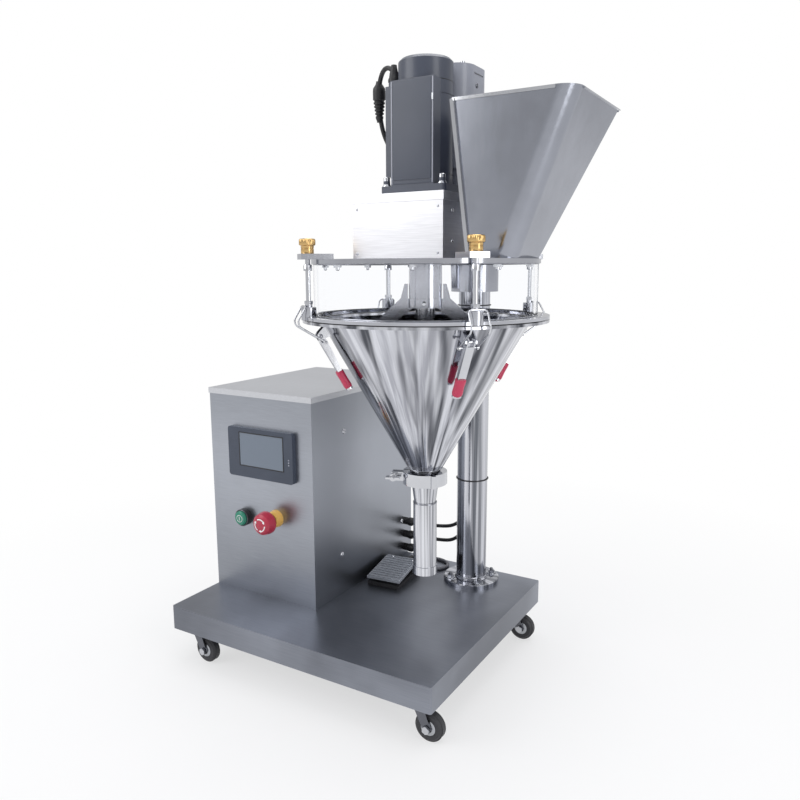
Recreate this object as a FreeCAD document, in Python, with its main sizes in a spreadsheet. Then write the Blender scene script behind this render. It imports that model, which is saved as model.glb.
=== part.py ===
"""Bench-top auger powder filler: a wheeled steel deck, a control cabinet, a column that
carries the filling head, and a foot pedal.  Millimetres, +Z up.  The origin lies on the
floor under the middle of the machine; X runs along the front edge, Y to the back."""
import FreeCAD
import Part
import Sketcher
import math
import os
import re

# ---------------------------------------------------------------- driving dimensions
SIZES = {
    # the deck's left and rear edges, and what stands right of the cabinet and in front of the rear
    "deck_left": -337.5, "deck_rear": 225, "bay_width": 289.5,
    "auger_across": 194.5, "auger_front": 277, "column_across": 173.5, "column_front": 57,
    # deck tray, its cross rails and the casters under it
    "deck_depth": 430, "deck_height": 42, "deck_wall": 2, "deck_corner": 4,
    "rail_width": 62, "rail_wall": 2.5, "caster_inset": 34, "caster_height": 64,
    "caster_plate": 52, "plate_gauge": 2.5, "race_radius": 15, "race_height": 5,
    "king_pin_radius": 4, "wheel_radius": 23, "wheel_width": 16, "wheel_trail": 15,
    "fork_gauge": 2.5, "fork_gap": 2, "axle_radius": 4, "hub_radius": 13, "tread_round": 4,
    # control cabinet
    "cabinet_width": 229, "cabinet_depth": 318, "cabinet_height": 375, "cabinet_past": 2,
    "cabinet_inset": 1.5, "sheet_gauge": 1.5, "lid_skirt": 10, "cover_lip": 12,
    # operator panel: touch screen and two push buttons
    "panel_width": 145, "panel_height": 89, "panel_proud": 9, "panel_corner": 5,
    "panel_left": 49, "panel_bottom": 222, "panel_body_inset": 6, "panel_body_depth": 32,
    "glass_width": 97, "glass_height": 58, "glass_gauge": 1.2, "glass_rise": 6,
    "glass_shift": 3,
    "start_left": 75, "start_up": 144.6, "estop_left": 147, "estop_up": 153,
    "button_hole": 11, "bezel_radius": 15.5, "bezel_height": 12, "cap_radius": 13,
    "cap_height": 17, "collar_radius": 15.5, "collar_height": 15, "mushroom_radius": 20,
    "mushroom_height": 38, "mushroom_neck": 10, "press_travel": 3.5, "stop_travel": 5,
    "contact_size": 30, "contact_depth": 42, "run_clear": 0.05, "seat_gap": 0.3,
    # column and the bracket that carries the head
    "column_radius": 28, "column_wall": 3, "foot_radius": 52,
    "foot_height": 8, "foot_ring": 41, "bolt_size": 6.5, "bolt_rise": 5.5,
    "saddle_radius": 42, "saddle_height": 64, "saddle_width": 96, "saddle_plate": 10,
    # levels of the filling head above the deck
    "spout_height": 98.5, "spout_length": 118.5, "taper_length": 31, "ferrule_height": 11,
    "neck_length": 4, "cone_height": 232, "flange_height": 4, "gasket_height": 1.5,
    "catch_height": 4.5, "sight_height": 75.5, "head_plate": 6.5, "housing_height": 90.4,
    # spout and tri-clamp joint
    "spout_radius": 18.75, "spout_bore": 15.6, "end_collar_radius": 19.8, "end_collar": 13.5,
    "ferrule_radius": 32, "taper_radius": 21.3, "clamp_radius": 35, "clamp_clear": 0.3,
    "wing_radius": 6, "wing_span": 22, "wing_gauge": 3, "clamp_bolt": 3,
    "clamp_ear": 20,
    # hopper, sight glass and head plate
    "flange_radius": 187, "cone_radius": 160, "cone_wall": 2, "gasket_inner": 162,
    "sight_radius": 169, "sight_wall": 5, "head_radius": 172, "rod_circle": 181,
    "rod_radius": 3.6, "lug_width": 28, "lug_inner": 146, "lug_outer": 193, "lug_height": 8,
    "knob_collar_radius": 9.5, "knob_collar_height": 12, "knob_radius": 12,
    "knob_height": 9.5, "first_station": -130,
    # toggle latches: everything in the upright plane of one station, as radius and height
    "boss_radius": 11, "boss_rise": 14, "boss_neck": 5.5, "neck_rise": 4, "bail_wire": 1.3,
    "bail_half": 13.5, "bail_bend": 203, "bail_drop": 24, "bail_fillet": 5, "eye_radius": 3.2,
    "pivot_radius": 166, "pivot_drop": 28, "throw_down": 10, "throw_in": 1, "ear_gap": 6.4,
    "ear_gauge": 2, "pin_radius": 2, "lever_half": 6, "lever_length": 66, "lever_gauge": 1.8,
    "lever_deep": 5, "grip_half": 7, "grip_deep": 5, "grip_length": 30, "latch_lean": 30,
    "ear_reach": 20,
    # drive housing and what turns in it
    "housing_width": 147, "housing_front": 88, "housing_back": 134, "housing_wall": 2.5,
    "housing_lid_skirt": 12, "lid_overhang": 1.5, "sleeve_radius": 15, "sleeve_bore": 10.5,
    "shaft_radius": 10, "bearing_radius": 25, "bearing_length": 58, "bearing_flange": 38,
    "bearing_flange_height": 8, "bush_length": 12, "pulley_radius": 26, "pulley_width": 14,
    "pulley_rim": 2, "belt_gauge": 3, "belt_slack": 0.4, "coupling_radius": 18,
    "coupling_height": 26, "stir_distance": 88, "stir_shaft": 6,
    # auger and agitator
    "flight_radius": 15.2, "flight_pitch": 27, "flight_gauge": 2.5, "core_radius": 7,
    "flight_turns": 7, "hub_outer": 26, "hub_height": 14, "blade_gauge": 5,
    "blade_foot": 46, "fin_height": 22,
    # motors
    "servo_flange": 107, "servo_flange_height": 15, "servo_pad": 70,
    "servo_height": 145.5, "servo_cap_radius": 40, "servo_cap_height": 32, "servo_bolts": 92,
    "seam_depth": 0.8, "stir_size": 86, "stir_round": 28, "stir_height": 196.6,
    "stir_gear_height": 46, "stir_gear_size": 78,
    # feed hopper
    "feed_left": 80, "feed_front": -73, "feed_width": 170, "feed_depth": 190,
    "chute_left": 102, "chute_front": -63, "chute_width": 64, "chute_depth": 99,
    "feed_height": 210, "feed_round": 27, "chute_round": 24, "feed_wall": 1.5,
    # foot pedal
    "pedal_across": 43.5, "pedal_in": 124.5, "pedal_turn": 6, "pedal_width": 67, "pedal_length": 101,
    "pedal_mat": 3, "pedal_front": 12, "pedal_rear": 22, "treadle_gauge": 4,
    "treadle_pin": 2.5, "rib_height": 1.6, "rib_width": 3, "rib_pitch": 8, "rib_count": 11,
    # leads
    "lead_radius": 3.5, "cord_radius": 3, "gland_radius": 8, "gland_length": 20,
    "gland_inset": 12, "gland_up": 16, "gland_pitch": 28,
}

doc = FreeCAD.newDocument("AugerFiller")
sheet = doc.addObject("Spreadsheet::Sheet", "Dims")
for row, (alias, size) in enumerate(SIZES.items(), start=1):
    sheet.set("A%d" % row, alias)
    sheet.set("B%d" % row, str(size))
    sheet.setAlias("B%d" % row, alias)
doc.recompute()

ALIAS = re.compile(r"\b[a-z]+(?:_[a-z]+)+\b")
Z_AXIS, Y_AXIS, X_AXIS = FreeCAD.Vector(0, 0, 1), FreeCAD.Vector(0, 1, 0), FreeCAD.Vector(1, 0, 0)
finished = []


# ---------------------------------------------------------------- small builders
def bound(expression):
    """The expression with every size name pointed at its cell of the sheet."""
    return ALIAS.sub(lambda word: "Dims." + word.group(0), str(expression))


def value(expression):
    """The number that an expression has now."""
    result = sheet.evalExpression(bound(expression))
    return float(getattr(result, "Value", result))


def total(*terms):
    """The sum of several sizes, as one expression."""
    return "(" + " + ".join("(%s)" % term for term in terms) + ")"


def placed(shape, spot=(0, 0, 0), turn=(Z_AXIS, 0)):
    """Give an object its turn and bind its place to the sheet."""
    shape.Placement = FreeCAD.Placement(FreeCAD.Vector(), FreeCAD.Rotation(*turn))
    for letter, expression in zip("xyz", spot):
        shape.setExpression("Placement.Base." + letter, bound(expression))
    return shape


def primitive(kind, name, spot, turn, **sizes):
    shape = doc.addObject(kind, name)
    for prop, expression in sizes.items():
        shape.setExpression(prop, bound(expression))
    return placed(shape, spot, turn)


def box(name, spot, size, turn=(Z_AXIS, 0)):
    """A block with its lowest corner at the spot."""
    return primitive("Part::Box", name, spot, turn, Length=size[0], Width=size[1], Height=size[2])


def block(name, middle, size, turn=(Z_AXIS, 0)):
    """A block centred on the spot in X and Y, standing on it in Z."""
    corner = (total(middle[0], "-(%s)/2" % size[0]), total(middle[1], "-(%s)/2" % size[1]), middle[2])
    return box(name, corner, size, turn)


def rod(name, spot, radius, height, turn=(Z_AXIS, 0)):
    return primitive("Part::Cylinder", name, spot, turn, Radius=radius, Height=height)


def hexagon(name, spot, radius, height, turn=(Z_AXIS, 0)):
    """A hexagon head or nut."""
    shape = primitive("Part::Prism", name, spot, turn, Circumradius=radius, Height=height)
    shape.Polygon = 6
    return shape


def cut(name, base, tool):
    shape = doc.addObject("Part::Cut", name)
    shape.Base, shape.Tool = base, tool
    return shape


def fuse(name, shapes):
    shape = doc.addObject("Part::MultiFuse", name)
    shape.Shapes = shapes
    shape.Refine = True
    return shape


def group(name, shapes):
    """Separate solids that share one node."""
    shape = doc.addObject("Part::Compound", name)
    shape.Links = shapes
    return shape


def finish(shape, label, spot=None, turn=(Z_AXIS, 0)):
    """Name a sub-part; its label is the name of its file."""
    shape.Label = label
    if spot is not None:
        placed(shape, spot, turn)
    finished.append(shape)
    return shape


def sketch_in(body, role):
    plane = [item for item in body.Origin.OriginFeatures if item.Role == role][0]
    sketch = body.newObject("Sketcher::SketchObject", body.Name + "Sketch")
    sketch.AttachmentSupport = (plane, [""])
    sketch.MapMode = "FlatFace"
    return sketch


def hold(sketch, kind, *target):
    """Add one dimension to a sketch and bind it; the last item is the expression."""
    expression = target[-1]
    number = sketch.addConstraint(Sketcher.Constraint(kind, *target[:-1], value(expression)))
    sketch.setExpression("Constraints[%d]" % number, bound(expression))


def outline(sketch, corners):
    """A closed outline of straight edges, each corner held by its two coordinates."""
    points = [FreeCAD.Vector(value(across), value(along), 0) for across, along in corners]
    count = len(points)
    for index in range(count):
        sketch.addGeometry(Part.LineSegment(points[index], points[(index + 1) % count]), False)
    for index in range(count):
        follower = (index + 1) % count
        sketch.addConstraint(Sketcher.Constraint("Coincident", index, 2, follower, 1))
        hold(sketch, "DistanceX", -1, 1, index, 1, corners[index][0])
        hold(sketch, "DistanceY", -1, 1, index, 1, corners[index][1])


def rounded_outline(sketch, width, depth, radius):
    """A rectangle about the sketch's origin with four equal round corners."""
    half, deep, bend = value(width) / 2, value(depth) / 2, value(radius)
    point = FreeCAD.Vector
    runs = [(point(bend - half, -deep, 0), point(half - bend, -deep, 0)),
            (point(half, bend - deep, 0), point(half, deep - bend, 0)),
            (point(half - bend, deep, 0), point(bend - half, deep, 0)),
            (point(-half, deep - bend, 0), point(-half, bend - deep, 0))]
    centres = [point(half - bend, bend - deep, 0), point(half - bend, deep - bend, 0),
               point(bend - half, deep - bend, 0), point(bend - half, bend - deep, 0)]
    quarter = 1.5707963267948966
    for start, end in runs:
        sketch.addGeometry(Part.LineSegment(start, end), False)
    for index, centre in enumerate(centres):
        circle = Part.Circle(centre, Z_AXIS, bend)
        sketch.addGeometry(Part.ArcOfCircle(circle, (index - 1) * quarter, index * quarter), False)
    for index in range(4):
        sketch.addConstraint(Sketcher.Constraint("Tangent", index, 2, 4 + index, 1))
        sketch.addConstraint(Sketcher.Constraint("Tangent", 4 + index, 2, (index + 1) % 4, 1))
    for index in (5, 6, 7):
        sketch.addConstraint(Sketcher.Constraint("Equal", 4, index))
    hold(sketch, "Radius", 4, radius)
    hold(sketch, "DistanceY", -1, 1, 0, 1, "-(%s)/2" % depth)
    hold(sketch, "DistanceX", -1, 1, 1, 1, "(%s)/2" % width)
    hold(sketch, "DistanceY", -1, 1, 2, 1, "(%s)/2" % depth)
    hold(sketch, "DistanceX", -1, 1, 3, 1, "-(%s)/2" % width)
    sketch.addConstraint(Sketcher.Constraint("Horizontal", 0))
    sketch.addConstraint(Sketcher.Constraint("Vertical", 1))


def padded(body, sketch, height, middle=False):
    pad = body.newObject("PartDesign::Pad", body.Name + "Pad")
    pad.Profile = sketch
    pad.Midplane = middle
    pad.setExpression("Length", bound(height))
    return pad


def prism(name, corners, height, role="XY_Plane", middle=False):
    """A straight-edged outline pushed out of an origin plane."""
    body = doc.addObject("PartDesign::Body", name)
    sketch = sketch_in(body, role)
    outline(sketch, corners)
    padded(body, sketch, height, middle)
    return body


def rounded_block(name, width, depth, radius, height, role="XY_Plane"):
    """A block with round upright corners, centred on its own origin."""
    body = doc.addObject("PartDesign::Body", name)
    sketch = sketch_in(body, role)
    rounded_outline(sketch, width, depth, radius)
    padded(body, sketch, height)
    return body


def turned(name, corners):
    """A lathe part: an outline of (radius, height) corners turned about Z."""
    body = doc.addObject("PartDesign::Body", name)
    sketch = sketch_in(body, "XZ_Plane")
    outline(sketch, corners)
    turn = body.newObject("PartDesign::Revolution", name + "Turn")
    turn.Profile = sketch
    turn.ReferenceAxis = (sketch, ["V_Axis"])
    turn.Angle = 360
    return body


def copy_of(name, source, spot, turn=(Z_AXIS, 0)):
    """Another piece of the same make, at a place of its own."""
    twin = doc.addObject("Part::Compound", name)
    twin.Links = [source]
    return placed(twin, spot, turn)


def corner_outline(sketch, left, front, width, depth, radius):
    """A rectangle with one round corner, the one in front on the right."""
    near, low, bend = value(left), value(front), value(radius)
    far, high = near + value(width), low + value(depth)
    point = FreeCAD.Vector
    corners = [point(near, low, 0), point(far - bend, low, 0), point(far, low + bend, 0),
               point(far, high, 0), point(near, high, 0)]
    for start, end in ((0, 1), (2, 3), (3, 4), (4, 0)):
        sketch.addGeometry(Part.LineSegment(corners[start], corners[end]), False)
    circle = Part.Circle(point(far - bend, low + bend, 0), Z_AXIS, bend)
    sketch.addGeometry(Part.ArcOfCircle(circle, -1.5707963267948966, 0), False)
    sketch.addConstraint(Sketcher.Constraint("Tangent", 0, 2, 4, 1))
    sketch.addConstraint(Sketcher.Constraint("Tangent", 4, 2, 1, 1))
    for first, second in ((1, 2), (2, 3), (3, 0)):
        sketch.addConstraint(Sketcher.Constraint("Coincident", first, 2, second, 1))
    sketch.addConstraint(Sketcher.Constraint("Horizontal", 0))
    sketch.addConstraint(Sketcher.Constraint("Vertical", 1))
    hold(sketch, "Radius", 4, radius)
    hold(sketch, "DistanceX", -1, 1, 0, 1, left)
    hold(sketch, "DistanceY", -1, 1, 0, 1, front)
    hold(sketch, "DistanceX", -1, 1, 2, 1, total(left, width))
    hold(sketch, "DistanceY", -1, 1, 2, 1, total(front, depth))
    hold(sketch, "DistanceX", -1, 1, 3, 1, left)
    hold(sketch, "DistanceY", -1, 1, 3, 1, total(front, depth))


def funnel(name, sections, height):
    """A loft between two one-cornered outlines, the second one raised by the height."""
    sketches = []
    for index, section in enumerate(sections):
        sketch = doc.addObject("Sketcher::SketchObject", "%sSection%d" % (name, index))
        corner_outline(sketch, *section)
        placed(sketch, (0, 0, height if index else 0))
        sketches.append(sketch)
    loft = doc.addObject("Part::Loft", name)
    loft.Sections = sketches
    loft.Solid = True
    loft.Ruled = True
    return loft


def path_of(points, bends):
    """Straight runs joined by tangent arcs; one bend radius per inner point."""
    edges = []
    start = points[0]
    for index in range(1, len(points) - 1):
        corner, radius = points[index], bends[index - 1]
        before = (points[index - 1] - corner).normalize()
        after = (points[index + 1] - corner).normalize()
        half = before.getAngle(after) / 2
        reach = radius / math.tan(half)
        first, last = corner + before * reach, corner + after * reach
        bisector = (before + after).normalize()
        middle = corner + bisector * (radius / math.sin(half) - radius)
        edges.append(Part.LineSegment(start, first).toShape())
        edges.append(Part.Arc(first, middle, last).toShape())
        start = last
    edges.append(Part.LineSegment(start, points[-1]).toShape())
    return Part.Wire(edges)


def piped(name, path, radius):
    """A round wire or lead along a path, with its volume checked against its length."""
    start = path.Edges[0].Vertexes[0].Point
    heading = path.Edges[0].tangentAt(path.Edges[0].FirstParameter)
    circle = Part.Wire([Part.Circle(start, heading, radius).toShape()])
    shape = path.makePipeShell([circle], True, True)
    wanted = path.Length * 3.141592653589793 * radius ** 2
    if abs(shape.Volume / wanted - 1) > 0.01:
        raise ValueError("%s has the wrong volume" % name)
    feature = doc.addObject("Part::Feature", name)
    feature.Shape = shape
    return feature


# ---------------------------------------------------------------- places and levels
DECK_TOP = "(caster_height + deck_height)"
DECK_WIDTH = "(cabinet_inset + cabinet_width + bay_width)"
DECK_X, DECK_Y = "(deck_left + %s/2)" % DECK_WIDTH, "(deck_rear - deck_depth/2)"
CABINET_LEFT = "(deck_left + cabinet_inset)"
CABINET_RIGHT = "(deck_left + cabinet_inset + cabinet_width)"
CABINET_FRONT = "(deck_rear + cabinet_past - cabinet_depth)"
HEAD_X, HEAD_Y = "(%s + auger_across)" % CABINET_RIGHT, "(deck_rear - auger_front)"
POST_X, POST_Y = "(%s + column_across)" % CABINET_RIGHT, "(deck_rear - column_front)"
SPOUT_Z = total(DECK_TOP, "spout_height")
FERRULE_Z = total(SPOUT_Z, "spout_length", "taper_length")
CONE_Z = total(FERRULE_Z, "ferrule_height")
FLANGE_Z = total(CONE_Z, "ferrule_height", "neck_length", "cone_height")
GASKET_Z = total(FLANGE_Z, "flange_height")
CATCH_Z = total(GASKET_Z, "gasket_height")
SIGHT_Z = total(CATCH_Z, "catch_height")
PLATE_Z = total(SIGHT_Z, "sight_height")
HOUSE_Z = total(PLATE_Z, "head_plate")
MOTOR_Z = total(HOUSE_Z, "housing_height")
STATIONS = [value("first_station") + 90 * index for index in range(4)]
FRONTWARD = (X_AXIS, 90)


def around(radius, angle, lift=0):
    """A spot round the head's axis."""
    across = "%s + (%s)*cos(%g)" % (HEAD_X, radius, angle)
    back = "%s + (%s)*sin(%g)" % (HEAD_Y, radius, angle)
    return (across, back, lift)


def at_head(shape, label, lift, angle=0):
    return finish(shape, label, (HEAD_X, HEAD_Y, lift), (Z_AXIS, angle))


# ---------------------------------------------------------------- deck, rails and casters
def base_deck():
    tray = rounded_block("DeckTray", DECK_WIDTH, "deck_depth", "deck_corner", "deck_height")
    room = (total(DECK_WIDTH, "-2*deck_wall"), "deck_depth - 2*deck_wall", "deck_height - deck_wall")
    hollow = block("DeckHollow", (0, 0, 0), room)
    finish(cut("Deck", tray, hollow), "base_deck", (DECK_X, DECK_Y, "caster_height"))


def base_rails():
    """Two channels under the deck, web down, that the caster plates are screwed to."""
    half, tall, wall = "(rail_width/2)", "(deck_height - deck_wall)", "rail_wall"
    channel = prism("RailChannel", [
        ("-%s" % half, 0), (half, 0), (half, tall), ("%s - %s" % (half, wall), tall),
        ("%s - %s" % (half, wall), wall), ("%s - %s" % (wall, half), wall),
        ("%s - %s" % (wall, half), tall), ("-%s" % half, tall)],
        total(DECK_WIDTH, "-2*deck_wall"), "YZ_Plane", True)
    rails = []
    for name, sign in (("RailFront", "-"), ("RailBack", "")):
        back = "%s + %s(deck_depth/2 - caster_inset)" % (DECK_Y, sign)
        rails.append(copy_of(name, channel, (DECK_X, back, "caster_height")))
    finish(group("Rails", rails), "base_rails")


def caster_spots():
    reach_x = "(%s/2 - caster_inset)" % DECK_WIDTH
    reach_y = "(deck_depth/2 - caster_inset)"
    for name, side_x, side_y in (("front_left", "-", "-"), ("front_right", "", "-"),
                                 ("rear_left", "-", ""), ("rear_right", "", "")):
        yield name, ("%s + %s%s" % (DECK_X, side_x, reach_x), "%s + %s%s" % (DECK_Y, side_y, reach_y), 0)


def casters():
    """Swivel casters: a seat with its king pin, a fork that swivels and a wheel that rolls."""
    race_z = "(caster_height - plate_gauge - race_height)"
    crown_z = "(%s - seat_gap - fork_gauge)" % race_z
    plate = block("CasterPlate", (0, 0, "caster_height - plate_gauge"),
                  ("caster_plate", "caster_plate", "plate_gauge"))
    race = rod("CasterRace", (0, 0, race_z), "race_radius", "race_height")
    pin = rod("CasterPin", (0, 0, "%s - seat_gap" % crown_z), "king_pin_radius",
              "fork_gauge + 2*seat_gap")
    nut = hexagon("CasterNut", (0, 0, "%s - seat_gap - fork_gauge" % crown_z), "king_pin_radius*1.6",
                  "fork_gauge")
    seat = fuse("CasterSeat", [plate, race, pin, nut])

    crown = rod("ForkCrown", (0, 0, crown_z), "race_radius + 1", "fork_gauge")
    leg_y = "(wheel_width/2 + fork_gap + fork_gauge/2)"
    cheek = prism("ForkCheek", [
        ("-race_radius*0.6", "%s + fork_gauge" % crown_z), ("race_radius*0.6", "%s + fork_gauge" % crown_z),
        ("wheel_trail + hub_radius*0.6", "wheel_radius"), ("wheel_trail", "wheel_radius - hub_radius*0.6"),
        ("wheel_trail - hub_radius*0.6", "wheel_radius")], "fork_gauge", "XZ_Plane", True)
    cheeks = [copy_of("ForkLeft", cheek, (0, leg_y, 0)), copy_of("ForkRight", cheek, (0, "-" + leg_y, 0))]
    bridge = block("ForkBridge", (0, 0, crown_z), ("race_radius*1.2", "2*%s + fork_gauge" % leg_y, "fork_gauge"))
    axle = rod("ForkAxle", ("wheel_trail", "-(wheel_width/2 + fork_gap + 2*fork_gauge)", "wheel_radius"),
               "axle_radius", "wheel_width + 2*fork_gap + 4*fork_gauge", (X_AXIS, -90))
    bore = rod("ForkBore", (0, 0, "%s - 1" % crown_z), "king_pin_radius + run_clear", "fork_gauge + 2")
    fork = cut("Fork", fuse("ForkBody", [crown, bridge, axle] + cheeks), bore)

    half, low = "(wheel_width/2)", "(wheel_radius - tread_round)"
    wheel = turned("CasterWheel", [
        ("axle_radius + run_clear", "-%s - fork_gap + seat_gap" % half), ("axle_radius + 3", "-%s - fork_gap + seat_gap" % half),
        ("hub_radius*0.7", "-%s + 2" % half), ("hub_radius", "-%s + 2" % half), ("hub_radius", "-%s" % half),
        (low, "-%s" % half), ("wheel_radius", "tread_round - %s" % half), ("wheel_radius", "%s - tread_round" % half),
        (low, half), ("hub_radius", half), ("hub_radius", "%s - 2" % half), ("hub_radius*0.7", "%s - 2" % half),
        ("axle_radius + 3", "%s + fork_gap - seat_gap" % half), ("axle_radius + run_clear", "%s + fork_gap - seat_gap" % half)])
    seats = []
    for name, spot in caster_spots():
        seats.append(copy_of("Seat_" + name, seat, spot))
        finish(copy_of("Fork_" + name, fork, spot), "caster_fork_" + name)
        axle_spot = (spot[0] + " + wheel_trail", spot[1], "wheel_radius")
        finish(copy_of("Wheel_" + name, wheel, axle_spot, FRONTWARD), "caster_wheel_" + name)
    finish(group("CasterSeats", seats), "caster_seats")


# ---------------------------------------------------------------- control cabinet
def panel_spot(left, up, out=0):
    """A spot on the cabinet's front, measured from its left edge and from the deck."""
    return ("%s + %s" % (CABINET_LEFT, left), "%s - (%s)" % (CABINET_FRONT, out), "%s + %s" % (DECK_TOP, up))


def cabinet():
    outer = box("ShellOuter", (CABINET_LEFT, CABINET_FRONT, DECK_TOP),
                ("cabinet_width", "cabinet_depth", "cabinet_height - sheet_gauge"))
    inner = box("ShellInner", (CABINET_LEFT + " + sheet_gauge", CABINET_FRONT + " + sheet_gauge", DECK_TOP + " - 1"),
                ("cabinet_width - 2*sheet_gauge", "cabinet_depth", "cabinet_height + 2"))
    window = box("PanelWindow", panel_spot("panel_left + panel_body_inset", "panel_bottom + panel_body_inset", 1),
                 ("panel_width - 2*panel_body_inset", "sheet_gauge + 2", "panel_height - 2*panel_body_inset"))
    holes = [window]
    for name, left, up in (("Start", "start_left", "start_up"), ("Stop", "estop_left", "estop_up")):
        holes.append(rod(name + "Hole", panel_spot(left, up, 1), "button_hole", "sheet_gauge + 2", (X_AXIS, -90)))
    for name, lift in gland_levels():
        spot = gland_spot(lift, "-sheet_gauge - 1")
        holes.append(rod(name + "Hole", spot, "gland_radius - 2", "sheet_gauge + 2", (Y_AXIS, 90)))
    shell = cut("Shell", cut("ShellWalls", outer, inner), fuse("ShellHoles", holes))
    finish(shell, "cabinet_shell")

    top_z = DECK_TOP + " + cabinet_height"
    cap = box("LidOuter", (CABINET_LEFT + " - sheet_gauge", CABINET_FRONT + " - sheet_gauge", top_z + " - lid_skirt"),
              ("cabinet_width + 2*sheet_gauge", "cabinet_depth + 2*sheet_gauge", "lid_skirt"))
    room = box("LidRoom", (CABINET_LEFT, CABINET_FRONT, top_z + " - lid_skirt - 1"),
               ("cabinet_width", "cabinet_depth", "lid_skirt + 1 - sheet_gauge"))
    finish(cut("Lid", cap, room), "cabinet_lid")

    cover_z = "cabinet_height - lid_skirt - seat_gap"
    back = CABINET_FRONT + " + cabinet_depth"
    tray = box("CoverOuter", (CABINET_LEFT, back, DECK_TOP), ("cabinet_width", "cover_lip", cover_z))
    gap = box("CoverRoom", (CABINET_LEFT + " + sheet_gauge", back + " - 1", DECK_TOP + " + sheet_gauge"),
              ("cabinet_width - 2*sheet_gauge", "cover_lip + 1 - sheet_gauge", cover_z + " - 2*sheet_gauge"))
    finish(cut("Cover", tray, gap), "cabinet_rear_cover")


def panel():
    """Touch screen: a bezel that stands proud, its body behind the front, and the glass."""
    mid = ("panel_left + panel_width/2", "panel_bottom + panel_height/2")
    bezel = rounded_block("PanelBezel", "panel_width", "panel_height", "panel_corner", "panel_proud", "XZ_Plane")
    placed(bezel, panel_spot(*mid))
    body = block("PanelBody", panel_spot(mid[0], "panel_bottom + panel_body_inset + seat_gap", "-(panel_body_depth/2)"),
                 ("panel_width - 2*panel_body_inset - 2*seat_gap", "panel_body_depth",
                  "panel_height - 2*panel_body_inset - 2*seat_gap"))
    glass_spot = panel_spot(total(mid[0], "glass_shift"), "%s + glass_rise - glass_height/2" % mid[1], "panel_proud - glass_gauge/2")
    seat = block("GlassSeat", glass_spot, ("glass_width", "glass_gauge + 0.01", "glass_height"))
    finish(cut("Panel", fuse("PanelHousing", [bezel, body]), seat), "hmi_housing")
    finish(block("Glass", glass_spot, ("glass_width", "glass_gauge", "glass_height")), "hmi_screen")


def contact_block(name, left, up):
    return block(name, panel_spot(left, up + " - contact_size/2", "-(sheet_gauge + 4 + contact_depth/2)"),
                 ("contact_size", "contact_depth", "contact_size"))


def start_button():
    well = "(cap_radius + seat_gap)"
    bezel = turned("StartBezel", [
        (0, "-sheet_gauge - 4"), ("button_hole - seat_gap", "-sheet_gauge - 4"), ("button_hole - seat_gap", 0),
        ("bezel_radius", 0), ("bezel_radius", "bezel_height - 1"), ("bezel_radius - 1", "bezel_height"),
        (well, "bezel_height"), (well, 0.5), (0, 0.5)])
    placed(bezel, panel_spot("start_left", "start_up"), FRONTWARD)
    finish(fuse("Start", [bezel, contact_block("StartBlock", "start_left", "start_up")]), "start_button_bezel")
    cap = turned("StartCap", [
        (0, "press_travel + 0.5 + seat_gap"), ("cap_radius", "press_travel + 0.5 + seat_gap"),
        ("cap_radius", "cap_height - 3"), ("cap_radius - 2.5", "cap_height - 0.6"), (0, "cap_height")])
    finish(cap, "start_button_cap", panel_spot("start_left", "start_up"), FRONTWARD)


def emergency_stop():
    well = "(mushroom_neck + seat_gap)"
    collar = turned("StopCollar", [
        (0, "-sheet_gauge - 4"), ("button_hole - seat_gap", "-sheet_gauge - 4"), ("button_hole - seat_gap", 0),
        ("collar_radius", 0), ("collar_radius - 1", "collar_height*0.6"), ("mushroom_neck + 3", "collar_height"),
        (well, "collar_height"), (well, 0.5), (0, 0.5)])
    placed(collar, panel_spot("estop_left", "estop_up"), FRONTWARD)
    finish(fuse("Stop", [collar, contact_block("StopBlock", "estop_left", "estop_up")]), "estop_collar")
    stem = rod("StopStem", panel_spot("estop_left", "estop_up", "stop_travel + 0.5 + seat_gap"), "mushroom_neck",
               "mushroom_height - 4 - stop_travel", FRONTWARD)
    finish(stem, "estop_stem")
    under, mouth = "(collar_height + stop_travel + 1)", "(mushroom_neck + run_clear)"
    roof = "(mushroom_height + 0.5 + seat_gap - 4 + seat_gap)"
    head = turned("StopHead", [
        (mouth, under), ("mushroom_radius - 3", under), ("mushroom_radius", under + " + 4"),
        ("mushroom_radius", under + " + 9"), ("mushroom_radius - 2", "mushroom_height + 2"),
        ("mushroom_radius - 6", "mushroom_height + 5.5"), (0, "mushroom_height + 7"), (0, roof), (mouth, roof)])
    finish(head, "estop_head", panel_spot("estop_left", "estop_up"), FRONTWARD)


def gland_levels():
    return (("GlandPedal", "gland_up"), ("GlandServo", "gland_up + gland_pitch"), ("GlandStir", "gland_up + 2*gland_pitch"))


def gland_spot(lift, out):
    """A spot beside the cabinet's right wall, near its rear lower corner."""
    return (total(CABINET_RIGHT, out), "deck_rear - gland_inset", total(DECK_TOP, lift))


def cable_glands():
    glands = []
    for name, lift in gland_levels():
        hexed = hexagon(name + "Hex", gland_spot(lift, 0), "gland_radius", "gland_length*0.4", (Y_AXIS, 90))
        dome = rod(name + "Dome", gland_spot(lift, "gland_length*0.4"), "gland_radius - 1.5", "gland_length*0.6",
                   (Y_AXIS, 90))
        tail = rod(name + "Tail", gland_spot(lift, "-sheet_gauge - 6"), "gland_radius - 2", "sheet_gauge + 6",
                   (Y_AXIS, 90))
        glands.append(fuse(name, [hexed, dome, tail]))
    finish(group("Glands", glands), "cable_glands")


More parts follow.
